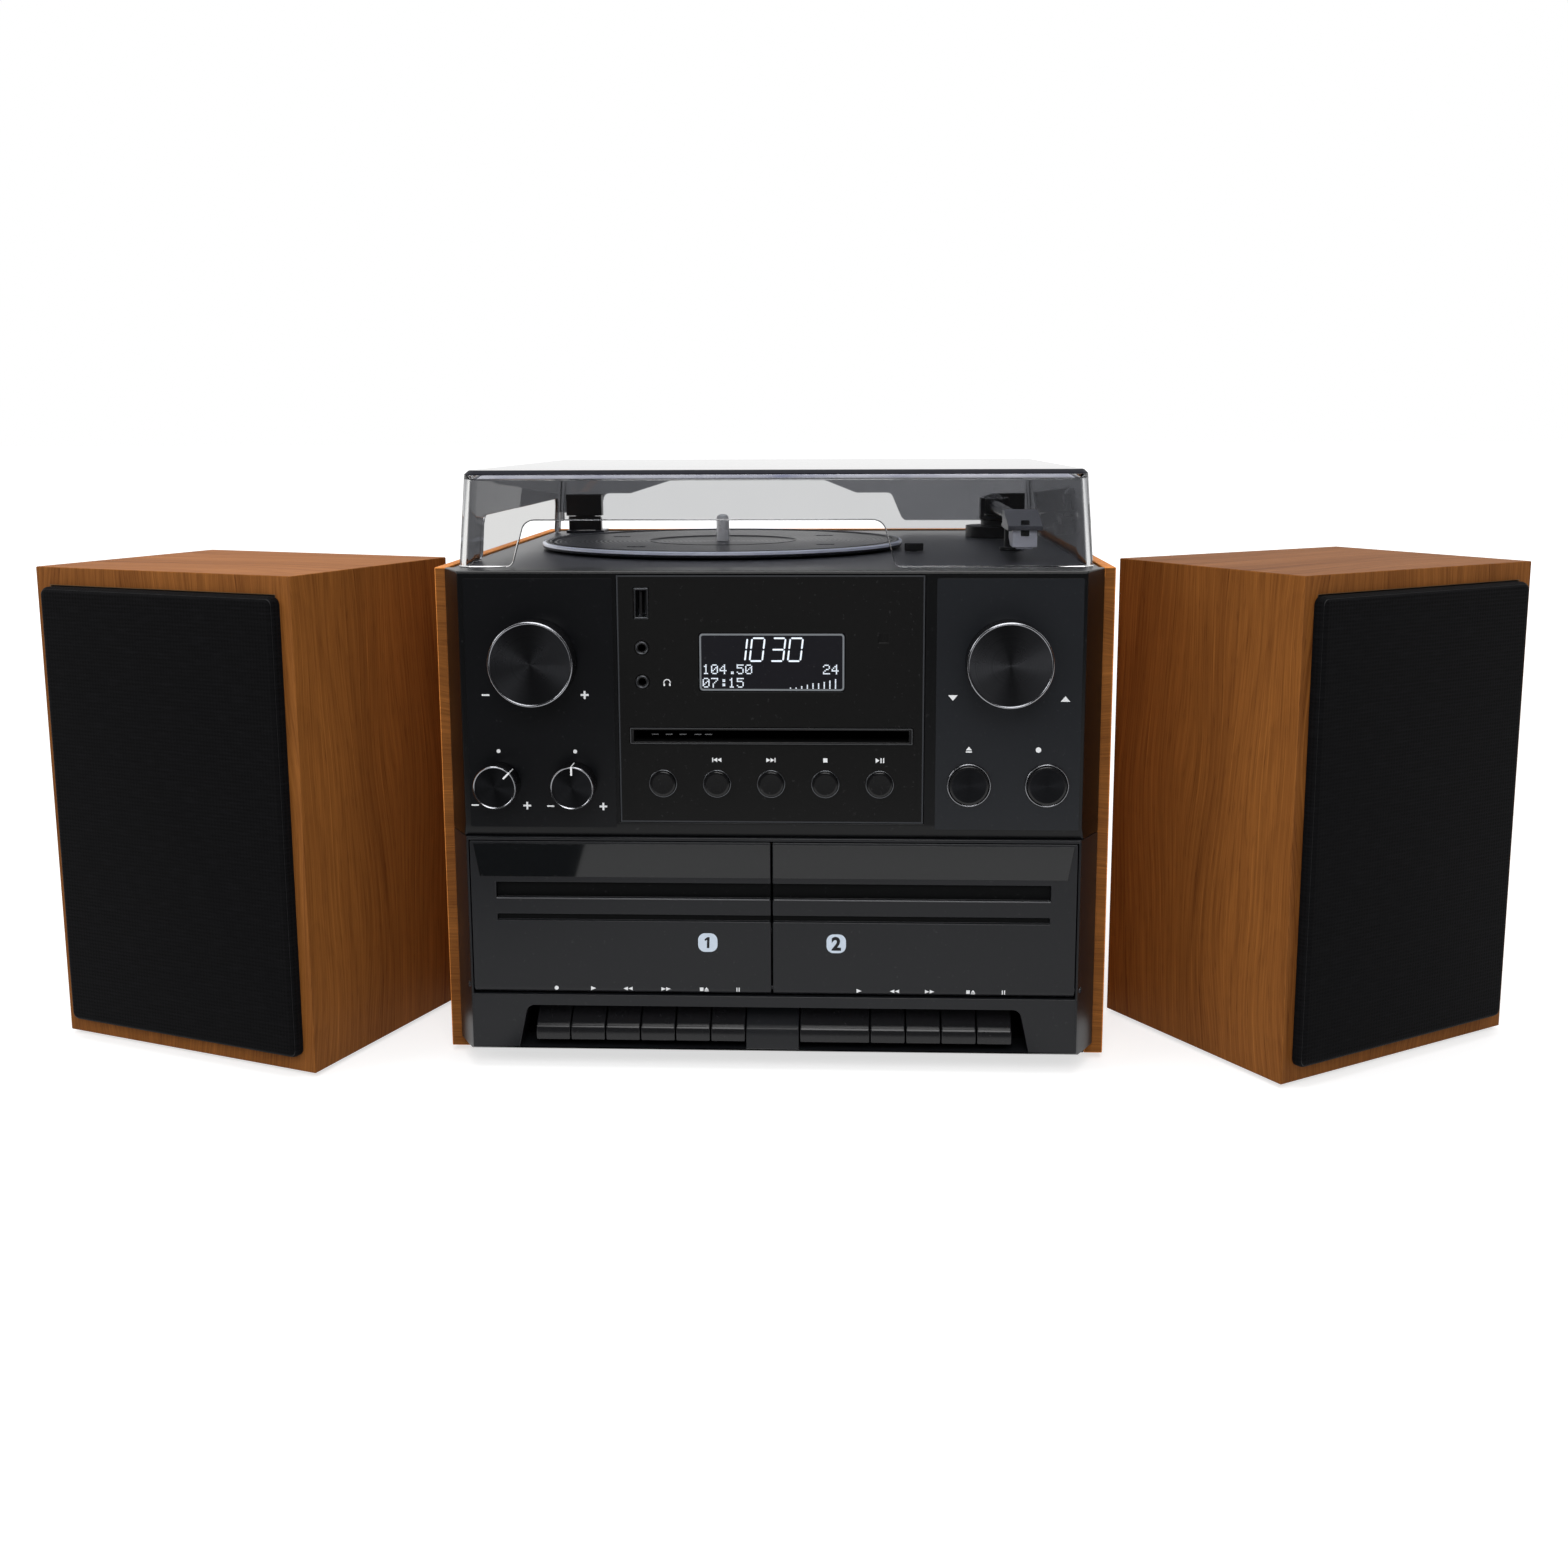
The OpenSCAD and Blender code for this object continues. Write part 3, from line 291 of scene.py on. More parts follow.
@once
def wood_grain():
    """Wood foil: X runs across the fibres and Y along them, in metres, and Z tells boards apart"""
    g, take = shader_group(
        "Wood grain",
        [
            ("Pale", "Color", (0.5, 0.3, 0.1, 1)),
            ("Deep", "Color", (0.2, 0.1, 0.03, 1)),
            ("Figure", "Float", 0.5),
        ],
    )
    x, y, z = g.split(take["Vector"])
    seat = g.mul(z, 3.7)

    def spot(side, across, along):
        return g.join(g.mul(side, across), g.mul(y, along), seat)

    slow = g.noise(spot(x, 9.0, 2.6), 1)
    # knots: cells drawn out along the fibres, and only in some of them
    cell = g.node("ShaderNodeTexVoronoi", {"Vector": spot(x, 9.0, 6.0), "Scale": 1.0}).outputs
    chosen = g.math("GREATER_THAN", g.split(cell["Color"])[0], 0.55)
    near = g.mul(g.remap(cell["Distance"], 0.26, 0.0, smooth=True), chosen)
    heart = g.mul(g.remap(cell["Distance"], 0.045, 0.015, smooth=True), chosen)
    # growth rings: a cone cut along its axis, pushed aside by the slow waves and the knots
    across = g.mad(g.sub(slow, 0.5), 0.075, x)
    across = g.mad(near, 0.012, across)
    shift = g.sub(across, g.mul(g.math("SINE", seat), 0.035))
    lean = g.mul(g.add(y, 0.08), 0.16)
    ring = g.math("FRACT", g.mul(g.radius(shift, lean), 120.0))
    late = g.mul(g.remap(ring, 0.45, 0.96, smooth=True), g.remap(ring, 1.0, 0.96))
    late = g.mul(late, take["Figure"])

    def fibres(width, run, detail):
        return g.noise(spot(across, width, run), 1, detail, 0.55)

    streak = fibres(1250, 18, 2)
    pore = g.remap(fibres(1900, 75, 1), 0.6, 0.72)
    dark = g.mad(g.remap(fibres(520, 6, 3), 0.28, 0.72), 0.24, 0.09)
    for mask, weight in (
        (g.remap(streak, 0.3, 0.7), 0.34),
        (g.remap(fibres(34, 1.6, 2), 0.3, 0.7), 0.26),
        (late, 0.16),
        (near, 0.26),
        (pore, 0.2),
        (g.remap(fibres(700, 9, 1), 0.62, 0.8), -0.3),
    ):
        dark = g.mad(mask, weight, dark)
    dark = g.mad(heart, 0.5, dark, clamp=True)
    height = g.sub(1.0, g.mad(pore, 0.7, g.mul(streak, 0.3)))
    rough = g.remap(dark, 0.0, 1.0, 0.5, 0.64)
    return close_group(g, g.mix(dark, take["Pale"], take["Deep"]), rough, height)


@once
def moulded_skin():
    """Skin of moulded plastic: faint flow clouds, fine spark texture and a trace of dust"""
    g, take = shader_group(
        "Moulded skin",
        [
            ("Tone", "Color", (0.02, 0.02, 0.02, 1)),
            ("Roughness", "Float", 0.4),
            ("Grain", "Float", 1400.0),
            ("Cloud", "Float", 0.12),
        ],
    )
    dust = g.remap(g.noise(take["Vector"], 520.0, 2, 0.7), 0.66, 0.8)
    lift = g.mul(g.sub(g.noise(take["Vector"], 22.0, 3, 0.6), 0.5), take["Cloud"])
    inputs = {"Color": take["Tone"], "Value": g.mad(lift, 2.0, 1.0)}
    clouded = g.node("ShaderNodeHueSaturation", inputs).outputs[0]
    tone = g.mix(g.mul(dust, 0.05), clouded, (0.35, 0.35, 0.36))
    rough = g.mad(dust, 0.08, g.mad(lift, 0.5, take["Roughness"]), clamp=True)
    return close_group(g, tone, rough, g.noise(take["Vector"], take["Grain"], 2, 0.6))


@once
def worked_metal():
    """Plated or machined metal: fine wear in the roughness and a slight change of tone"""
    inputs = [("Tone", "Color", (0.7, 0.7, 0.7, 1)), ("Roughness", "Float", 0.2)]
    g, take = shader_group("Worked metal", inputs)
    smear = g.noise(take["Vector"], 60.0, 3, 0.6)
    tone = g.mix(g.remap(smear, 0.35, 0.75, 0.0, 0.18), take["Tone"], (0.3, 0.3, 0.32))
    rough = g.mad(g.sub(smear, 0.5), 0.2, take["Roughness"], clamp=True)
    return close_group(g, tone, rough, g.noise(g.scaled(take["Vector"], (2500, 2500, 180)), 1.0, 1))


# ---------- finishes ----------


class Surface(Graph):
    """A new material with one Principled shader"""

    def __init__(self, name, **inputs):
        self.material = bpy.data.materials.new(name)
        self.material.use_nodes = True
        super().__init__(self.material.node_tree)
        self.tree.nodes.clear()
        self.shader = self.node("ShaderNodeBsdfPrincipled")
        self.out = self.node("ShaderNodeOutputMaterial", {0: self.shader.outputs[0]})
        self.set(**inputs)

    def set(self, **inputs):
        """Feeds the shader's inputs, spelt with _ for a space"""
        for key, value in inputs.items():
            self.feed(self.shader.inputs[key.replace("_", " ")], value)

    def bump(self, height, strength, distance):
        inputs = {"Height": height, "Strength": strength, "Distance": distance}
        self.set(Normal=self.node("ShaderNodeBump", inputs).outputs[0])

    def skin(self, where, tone, rough, grain, cloud):
        inputs = {"Vector": where, "Tone": tone_of(tone), "Roughness": rough, "Grain": grain, "Cloud": cloud}
        return self.node("ShaderNodeGroup", inputs, node_tree=moulded_skin()).outputs

    def end_in(self, shader):
        self.tree.links.new(shader.outputs[0], self.out.inputs[0])


def tone_of(tone, share=1.0):
    """A colour of the settings by its name, or a screen colour from 0 to 255"""
    values = getattr(colours(), tone) if isinstance(tone, str) else srgb(*tone)
    return (*(v * share for v in values), 1.0)


def plastic(name, tone, rough, grain, relief, cloud, specular):
    """Moulded plastic of one tone"""
    s = Surface(name, Specular_IOR_Level=specular)
    skin = s.skin(s.where(), tone, rough, grain, cloud)
    s.set(Base_Color=skin["Color"], Roughness=skin["Roughness"])
    s.bump(skin["Height"], relief, 0.0001)
    return s.material


def metal(name, tone, rough, relief=0.03, polish=1.0):
    """Plated, drawn or rolled metal"""
    s = Surface(name, Metallic=polish)
    inputs = {"Vector": s.where(), "Tone": tone_of(tone), "Roughness": rough}
    worked = s.node("ShaderNodeGroup", inputs, node_tree=worked_metal()).outputs
    s.set(Base_Color=worked["Color"], Roughness=worked["Roughness"])
    s.bump(worked["Height"], relief, 0.00005)
    return s.material


def walnut_foil(name, figure, tint):
    """Wood-grain foil on the boards, read from the piece's own Grain map"""
    s = Surface(name, Specular_IOR_Level=0.07)
    board = s.node("ShaderNodeAttribute", attribute_name="board", attribute_type="GEOMETRY")
    apart = s.scaled(board.outputs["Vector"], (0.31, 0.17, 1.0))
    inputs = {
        "Vector": s.node("ShaderNodeVectorMath", {0: s.uv("Grain"), 1: apart}, operation="ADD").outputs[0],
        "Pale": tone_of("wood_pale", tint),
        "Deep": tone_of("wood_deep", tint),
        "Figure": figure,
    }
    grain = s.node("ShaderNodeGroup", inputs, node_tree=wood_grain()).outputs
    s.set(Base_Color=grain["Color"], Roughness=grain["Roughness"])
    s.bump(grain["Height"], 0.25, 0.00012)
    return s.material


def turned_metal(name, tone, rough):
    """Spun metal face: the light runs out in sectors, from the piece's own Turning map"""
    s = Surface(name, Metallic=1.0, Anisotropic=0.8)
    polar = s.uv("Turning")
    line = s.noise(s.scaled(polar, (1.2, 5200, 1)), 1.0, 2, 0.6)
    around = s.noise(s.scaled(polar, (5, 40, 1)), 1.0)
    s.set(
        Base_Color=s.mix(s.remap(line, 0.3, 0.7, 0.0, 0.55), tone_of(tone), tone_of(tone, 0.45)),
        Roughness=s.remap(around, 0.2, 0.8, rough - 0.04, rough + 0.06),
        Tangent=s.node("ShaderNodeTangent", direction_type="UV_MAP", uv_map="Turning").outputs[0],
    )
    s.bump(line, 0.12, 0.00003)
    return s.material


def ribbed_platter(name, tone, pitch):
    """Dark plastic with rings pressed round the spindle, painted darker in their grooves as shade"""
    s = Surface(name, Specular_IOR_Level=0.45)
    inputs = {"Vector": s.where(), "Location": (PLATTER_X, PLATTER_Y, 0)}
    where = s.node("ShaderNodeMapping", inputs, vector_type="TEXTURE").outputs[0]
    x, y, z = s.split(where)
    rib = s.math("SINE", s.mul(s.radius(x, y), 2 * math.pi / pitch))
    skin = s.skin(where, tone, 0.34, 1500, 0.15)
    # darker towards the low of each ring: painted shade in the grooves
    shade = s.mix(s.remap(rib, -1, 1, 0.25, 0.0), skin["Color"], (0.002, 0.002, 0.0025))
    s.set(Base_Color=shade, Roughness=skin["Roughness"])
    s.bump(rib, 0.35, 0.0004)
    return s.material


def smoked_acrylic(name, ior, coat):
    """Clear smoked plastic with painted light in its tint: the thin front wall is paler than the walls seen
    edge on, and a painted dark line runs along the top's front edge
    """
    s = Surface(name, Roughness=0.02, IOR=ior, Transmission_Weight=1.0, Coat_Weight=coat)
    where = s.where()
    x, y, z = s.split(where)
    # the tints below are painted light and shade: a paler front wall, darker side and rear walls, and dark
    # bands at the top's front edge
    top_edge = s.remap(z, 0.2826, 0.2829)
    pane = s.mix(s.remap(x, -0.105, -0.088), tone_of((246, 246, 245)), tone_of((231, 232, 233)))
    wall = s.mix(s.remap(x, -0.135, 0.05), tone_of((98, 99, 103)), tone_of((122, 123, 127)))
    for mask, tone in (
        (s.remap(s.math("ABSOLUTE", x), 0.1445, 0.1465), tone_of((96, 97, 101))),  # side walls
        (s.remap(y, -0.1340, -0.1370), pane),  # front wall
        (s.mul(top_edge, s.remap(y, -0.1345, -0.1355)), tone_of((18, 19, 29))),  # its upper edge
        (s.mul(top_edge, s.remap(y, -0.1388, -0.1393)), tone_of((8, 9, 22))),  # that edge's rim
    ):
        wall = s.mix(mask, wall, tone)
    haze = s.remap(s.noise(where, 40.0, 3, 0.6), 0.3, 0.8, 0.0, 0.05)
    s.set(Base_Color=s.mix(haze, wall, (0.5, 0.5, 0.52)))
    # the lamps shine through
    clear = s.node("ShaderNodeBsdfTransparent", {"Color": tone_of((196, 197, 200))})
    shadow = s.node("ShaderNodeLightPath").outputs["Is Shadow Ray"]
    s.end_in(s.mix_shader(shadow, s.shader, clear))
    return s.material


def woven_cloth(name):
    """Plain-woven acoustic cloth, from the piece's own Weave map in metres, with painted shade where the
    weave is low
    """
    s = Surface(name, Sheen_Weight=0.02, Sheen_Roughness=0.5, Specular_IOR_Level=0.06)
    u, v, _ = s.split(s.uv("Weave"))
    turn = math.pi / sizes().thread
    warp, weft = (s.math("ABSOLUTE", s.math("SINE", s.mul(way, turn * 0.5))) for way in (u, v))
    over = s.mul(*(s.math("SINE", s.mul(way, turn)) for way in (u, v)))
    up = s.math("GREATER_THAN", over, 0.0)
    height = s.add(s.mul(warp, up), s.mul(weft, s.sub(1.0, up)))
    slub = s.noise(s.scaled(s.uv("Weave"), (90, 700, 1)), 1.0)
    # darker where the weave is low, between and along the threads: painted shade
    tone = s.mix(s.remap(height, 0.2, 1.0), tone_of("cloth_black", 0.35), tone_of("cloth_black"))
    tone = s.mix(s.remap(slub, 0.5, 0.8, 0.0, 0.4), tone, tone_of("cloth_black", 2.2))
    s.set(Base_Color=tone, Roughness=s.remap(height, 0, 1, 0.95, 0.75))
    s.bump(height, 0.5, 0.0002)
    return s.material


def lit_print(name, tone, glow=0.0):
    """Print, or a lit segment where it glows"""
    s = Surface(name, Roughness=0.55, Specular_IOR_Level=0.3)
    ink = s.remap(s.noise(s.where(), 900.0, 2, 0.6), 0.35, 0.75, 0.0, 0.14)
    tint = s.mix(ink, tone_of(tone), tone_of(tone, 0.7))
    s.set(Base_Color=tint)
    if glow:
        s.set(Emission_Color=tint, Emission_Strength=glow)
    return s.material


def pale_floor(name):
    """What the camera sees is nearly white, so that only the shadow shows; gloss sees a white
    floor near the front, then a dim room, with a flag at the left"""
    s = Surface(name, Roughness=0.9, Base_Color=(0.8, 0.8, 0.8, 1), Specular_IOR_Level=0.0)
    path = s.node("ShaderNodeLightPath").outputs
    where = s.where()
    x, y, z = s.split(where)
    far = s.node("ShaderNodeVectorMath", {0: where}, operation="LENGTH").outputs["Value"]
    white = s.remap(far, 0.9, 2.2, 0.66, 1.0, smooth=True)
    seen = s.node("ShaderNodeEmission", {"Color": (1, 1, 1, 1), "Strength": white})
    lit = s.node("ShaderNodeBsdfDiffuse", {"Color": (0.5, 0.5, 0.5, 1)})
    pair = s.node("ShaderNodeAddShader", {0: seen.outputs[0], 1: lit.outputs[0]})
    close = s.remap(y, -0.95, -0.55, smooth=True)
    flag_edge = s.mad(y, 0.1, -0.1011)
    flag = s.mul(s.math("LESS_THAN", x, flag_edge), s.math("LESS_THAN", y, -0.45))
    level = s.mul(close, s.sub(1.0, flag))
    gloss = s.node("ShaderNodeEmission", {"Strength": s.remap(level, 0, 1, 0.06, 0.85)})
    sharp = s.math("MAXIMUM", path["Is Camera Ray"], path["Is Transmission Ray"])
    s.end_in(s.mix_shader(path["Is Glossy Ray"], s.mix_shader(sharp, s.shader, pair), gloss))
    return s.material


FINISHES = {
    # moulded: tone, roughness, grain, relief, clouds, specular level
    "Front plastic": (plastic, "front_black", 0.32, 1500, 0.05, 0.1, 0.3),
    # the two plates are one plastic; the left one's darker tone and the right one's paler tone are painted
    # shade and light
    "Front plate, left": (plastic, (13, 14, 17), 0.3, 1500, 0.05, 0.1, 0.32),
    "Front plate, right": (plastic, (29, 31, 35), 0.3, 1500, 0.05, 0.1, 0.32),
    "Gloss panel": (plastic, "panel_black", 0.18, 300, 0.01, 0.05, 0.08),
    "Panel button": (plastic, (15, 15, 16), 0.14, 500, 0.02, 0.08, 0.4),
    "Display glass": (plastic, (27, 27, 31), 0.08, 200, 0.0, 0.05, 0.4),
    "Slot surround": (plastic, (20, 20, 21), 0.22, 900, 0.03, 0.1, 0.4),
    "Slot throat": (plastic, (14, 14, 15), 0.7, 900, 0.1, 0.1, 0.2),
    "Socket body": (plastic, (18, 18, 19), 0.4, 900, 0.05, 0.1, 0.4),
    "Knob skirt": (plastic, (18, 18, 20), 0.22, 900, 0.03, 0.1, 0.45),
    "Door plastic": (plastic, "door_black", 0.3, 1500, 0.05, 0.1, 0.32),
    # near black: painted shade inside the finger grooves of the doors
    "Door groove": (plastic, (7, 8, 9), 0.6, 1500, 0.05, 0.1, 0.1),
    # paler than the door plastic: a real rounded lip with a painted highlight
    "Groove lip": (plastic, (66, 67, 70), 0.25, 900, 0.02, 0.3, 0.6),
    "Window strip": (plastic, (10, 12, 14), 0.04, 300, 0.004, 0.05, 0.6),
    "Key plastic": (plastic, "key_black", 0.2, 900, 0.03, 0.1, 0.45),
    "Deck plastic": (plastic, "deck_grey", 0.36, 1200, 0.06, 0.1, 0.45),
    # pale bluish finish on the platter's outer rounding: painted highlight
    "Platter rim": (plastic, (222, 227, 244), 0.22, 900, 0.02, 0.08, 0.6),
    "Arm plastic": (plastic, (20, 20, 23), 0.3, 1200, 0.05, 0.1, 0.45),
    "Arm tube": (plastic, (24, 25, 28), 0.24, 900, 0.03, 0.1, 0.5),
    "Headshell": (plastic, (96, 97, 104), 0.3, 1000, 0.04, 0.1, 0.5),
    "Cartridge body": (plastic, (240, 240, 252), 0.28, 900, 0.03, 0.08, 0.5),
    "Lever tip": (plastic, (205, 206, 210), 0.4, 1400, 0.06, 0.12, 0.4),
    # opaque dark navy: painted shade of the top panel's front edge seen edge on
    "Cover rim": (plastic, (10, 11, 25), 0.5, 900, 0.02, 0.1, 0.12),
    "Hinge plastic": (plastic, (18, 18, 20), 0.35, 1200, 0.05, 0.1, 0.4),
    "Matt black plastic": (plastic, (22, 22, 24), 0.55, 1300, 0.15, 0.15, 0.35),
    "Foot rubber": (plastic, (16, 16, 17), 0.8, 700, 0.3, 0.2, 0.25),
    "Belt rubber": (plastic, (14, 14, 14), 0.7, 900, 0.2, 0.2, 0.3),
    "Raw board": (plastic, (120, 92, 62), 0.8, 500, 0.3, 0.4, 0.2),
    "Driver cone": (plastic, (26, 26, 28), 0.6, 1500, 0.2, 0.3, 0.3),
    "Circuit board": (plastic, (28, 84, 48), 0.4, 300, 0.05, 0.4, 0.5),
    # metal: tone, roughness, relief, share of metal
    "Knob rim": (metal, "chrome", 0.17),
    "Bright steel": (metal, (190, 191, 194), 0.26, 0.06),
    "Spindle chrome": (metal, (250, 250, 252), 0.26, 0.03, 0.3),
    "Dull trim": (metal, (118, 120, 124), 0.3),
    "Dull jack ring": (metal, (96, 98, 102), 0.35),
    "Socket shell": (metal, (120, 122, 126), 0.3),
    "Dark plate": (metal, (66, 67, 72), 0.35, 0.05),
    "Black screw": (metal, (60, 60, 62), 0.4),
    "Core laminations": (metal, (92, 88, 84), 0.5),
    "Dark rod": (metal, (52, 52, 55), 0.4),
    "Motor can": (metal, (150, 150, 154), 0.32),
    "Brass": (metal, (196, 160, 84), 0.28),
    # spun metal: tone, roughness
    "Spun knob face": (turned_metal, (84, 85, 89), 0.28),
    "Spun tone face": (turned_metal, (52, 53, 56), 0.3),
    "Spun button face": (turned_metal, (44, 45, 48), 0.32),
    # print: tone, glow
    "White print": (lit_print, "print_white"),
    "Pointer white": (lit_print, (232, 233, 235)),
    "Badge": (lit_print, "badge_blue"),
    "Badge numeral": (lit_print, (24, 25, 30)),
    # paler than the panel: painted highlight along the seam's edge
    "Panel seam": (lit_print, (48, 50, 54)),
    "Slot edge line": (lit_print, (60, 61, 63)),
    "Lit segments": (lit_print, "digit_white", 0.42),
    "Display frame line": (lit_print, (108, 112, 116), 0.15),
    # foil: figure, tint
    "Walnut foil": (walnut_foil, 0.45, 1.0),
    "Walnut foil, boxes": (walnut_foil, 0.5, 1.0),
    # a paler copy of the foil: painted highlight on the rounded edges
    "Walnut foil, worn edge": (walnut_foil, 0.2, 1.5),
    "Walnut foil, rims": (walnut_foil, 0.3, 0.72),
    # a much paler copy of the foil: painted light and reflection on the rear board's top
    "Walnut foil, rear edge": (walnut_foil, 0.2, 2.3),
    # cover: index of refraction, coat
    "Smoked acrylic": (smoked_acrylic, 1.49, 0.0),
    "Smoked acrylic, sides": (smoked_acrylic, 1.04, 0.25),
    "Platter mat": (ribbed_platter, (44, 45, 49), 0.0026),
    "Grille cloth": (woven_cloth,),
    "Pale floor": (pale_floor,),
}


@once
def finish(name):
    build, *details = FINISHES[name]
    return build(name, *details)


# ---------- meshes ----------


def link(made, *finishes):
    bpy.context.scene.collection.objects.link(made)
    for name in finishes:
        made.data.materials.append(finish(name))
    return made


def from_bmesh(name, bm, *finishes, smooth=True):
    """The object of a bmesh, which is closed and whose normals are turned out"""
    bmesh.ops.recalc_face_normals(bm, faces=bm.faces)
    return from_turned(name, bm, *finishes, smooth=smooth)


def from_turned(name, bm, *finishes, smooth=True):
    mesh = bpy.data.meshes.new(name)
    bm.normal_update()
    bm.to_mesh(mesh)
    bm.free()
    mesh.polygons.foreach_set("use_smooth", [smooth] * len(mesh.polygons))
    return link(bpy.data.objects.new(name, mesh), *finishes)


def applied(made):
    """The object with its modifiers baked into its mesh"""
    bpy.context.view_layer.update()
    seen = bpy.context.evaluated_depsgraph_get()
    mesh = bpy.data.meshes.new_from_object(made.evaluated_get(seen))
    made.modifiers.clear()
    made.data = mesh
    return made


def goes_with(node, made, replaces=False):
    """A piece that rides on a CAD node's body; replaces hides the CAD node"""
    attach(made, NODES[node]["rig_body"])
    if replaces:
        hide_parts(node)
    return made


def soften(made, width, segments=2, angle=30.0):
    """Rounded edges with even shading"""
    made.data.polygons.foreach_set("use_smooth", [True] * len(made.data.polygons))
    cut = made.modifiers.new("Rounded edges", "BEVEL")
    cut.width, cut.segments, cut.limit_method = width, segments, "ANGLE"
    cut.angle_limit = math.radians(angle)
    cut.use_clamp_overlap, cut.loop_slide = False, False
    made.modifiers.new("Even shading", "WEIGHTED_NORMAL").keep_sharp = True
    return applied(made)


def cad_copy(node, whole=True):
    """A merged copy of a CAD node's mesh as bmesh; whole joins the triangles of its flat faces"""
    bm = bmesh.new()
    bm.from_mesh(NODES[node].data)
    bmesh.ops.remove_doubles(bm, verts=bm.verts, dist=2e-6)
    if whole:
        bmesh.ops.dissolve_limit(bm, angle_limit=math.radians(1.0), verts=bm.verts, edges=bm.edges)
    for layer in list(bm.loops.layers.uv):
        bm.loops.layers.uv.remove(layer)
    return bm


def dressed(node, *finishes, width=None, segments=2, assign=None, whole=True):
    """A CAD node's shape with rounded edges, in the node's place; assign picks the finish of a
    face by its centre and normal"""
    made = from_turned(node + ".finished", cad_copy(node, whole), *finishes)
    made = soften(made, width or sizes().edge, segments)
    if assign:
        for face in made.data.polygons:
            face.material_index = assign(face.center, face.normal)
    return goes_with(node, made, replaces=True)


def paint(node, *finishes, assign=None):
    """A CAD node keeps its mesh and gets its finishes"""
    mesh = NODES[node].data
    mesh.materials.clear()
    for name in finishes:
        mesh.materials.append(finish(name))
    for face in mesh.polygons:
        face.material_index = assign(face.center, face.normal) if assign else 0


def mark_sharp(made, angle):
    made.data.set_sharp_from_angle(angle=math.radians(angle))
    return made


def turned(node, x, z, profile, counts, *finishes, steps, sharp=40):
    """A shape turned about an axis along -Y through (x, z), in a CAD node's place; profile is
    (radius, distance from the front), and counts says how many of its strips each finish has"""
    bm = bmesh.new()
    uv = bm.loops.layers.uv.new("Turning")
    circle = [(math.cos(2 * math.pi * i / steps), math.sin(2 * math.pi * i / steps)) for i in range(steps)]
    rows = [
        [bm.verts.new((x + r * a, FACE_Y - h, z + r * b)) for a, b in (circle if r else [(0, 0)])]
        for r, h in profile
    ]
    band = [index for index, count in enumerate(counts) for _ in range(count)]
    for k, (low, high) in enumerate(zip(rows, rows[1:])):
        for i in range(steps):
            j = (i + 1) % steps
            corners = [low[i % len(low)], low[j % len(low)], high[j % len(high)], high[i % len(high)]]
            unique = list(dict.fromkeys(corners))
            if len(unique) < 3:
                continue
            face = bm.faces.new(unique)
            face.material_index = band[k]
            for loop in face.loops:
                row = k if loop.vert in low else k + 1
                turn = i if loop.vert in (corners[0], corners[3]) else i + 1
                if len(rows[row]) == 1:
                    turn = i + 0.5
                loop[uv].uv = (turn / steps, profile[row][0])
    made = mark_sharp(from_bmesh(node + ".turned", bm, *finishes), sharp)
    return goes_with(node, made, replaces=True)


# ---------- marks: flat shapes on fronts that face -Y, as outlines of (x, z) ----------


def prism(bm, outline, y_front, depth, hole=None):
    rings = [outline, hole] if hole else [outline]
    fronts = [[bm.verts.new((x, y_front, z)) for x, z in ring] for ring in rings]
    backs = [[bm.verts.new((x, y_front + depth, z)) for x, z in ring] for ring in rings]
    if not hole:
        bm.faces.new(fronts[0])
        bm.faces.new(backs[0][::-1])
    for i in range(len(outline)):
        j = (i + 1) % len(outline)
        if hole:
            bm.faces.new([fronts[0][i], fronts[0][j], fronts[1][j], fronts[1][i]])
            bm.faces.new([backs[0][i], backs[1][i], backs[1][j], backs[0][j]])
        bm.faces.new([fronts[0][i], backs[0][i], backs[0][j], fronts[0][j]])
        if hole:
            bm.faces.new([fronts[1][i], fronts[1][j], backs[1][j], backs[1][i]])


def flat_solid(name, prisms, *finishes):
    """Plates as one object; each is its outline, front and depth, and perhaps its hole"""
    bm = bmesh.new()
    for one in prisms:
        prism(bm, *one)
    return from_bmesh(name, bm, *finishes, smooth=False)


def printed(node, name, shapes, y_surface, ink):
    """Printed shapes on a node's front; a shape is an outline, or an outline and its hole"""
    rise = sizes().print_rise
    pairs = [shape if isinstance(shape, tuple) else (shape, None) for shape in shapes]
    prisms = [(outline, y_surface - rise, rise * 0.98, hole) for outline, hole in pairs]
    return goes_with(node, flat_solid(name, prisms, ink))


def rect(x, z, w, h):
    return [(x + a * w / 2, z + b * h / 2) for a, b in ((-1, -1), (1, -1), (1, 1), (-1, 1))]


def arc(x, z, r, start, stop, steps):
    """Points on an arc from start to stop, which count in half circles, with both ends"""
    angles = [math.pi * (start + (stop - start) * i / steps) for i in range(steps + 1)]
    return [(x + r * math.cos(a), z + r * math.sin(a)) for a in angles]


def disc(x, z, r, steps):
    return arc(x, z, r, 0, 2, steps)[:-1]


def rounded_rect(x, z, w, h, r, steps=8):
    corners = ((1, 1, 0.0), (-1, 1, 0.5), (-1, -1, 1.0), (1, -1, 1.5))
    return [
        point
        for a, b, start in corners
        for point in arc(x + a * (w / 2 - r), z + b * (h / 2 - r), r, start, start + 0.5, steps)
    ]


def triangle(x, z, w, h, way):
    """Triangle that points right (1), left (-1), up (2) or down (-2)"""
    if abs(way) == 1:
        return [(x - way * w / 2, z - h / 2), (x + way * w / 2, z), (x - way * w / 2, z + h / 2)]
    s = way / 2
    return [(x - w / 2, z - s * h / 2), (x + w / 2, z - s * h / 2), (x, z + s * h / 2)]


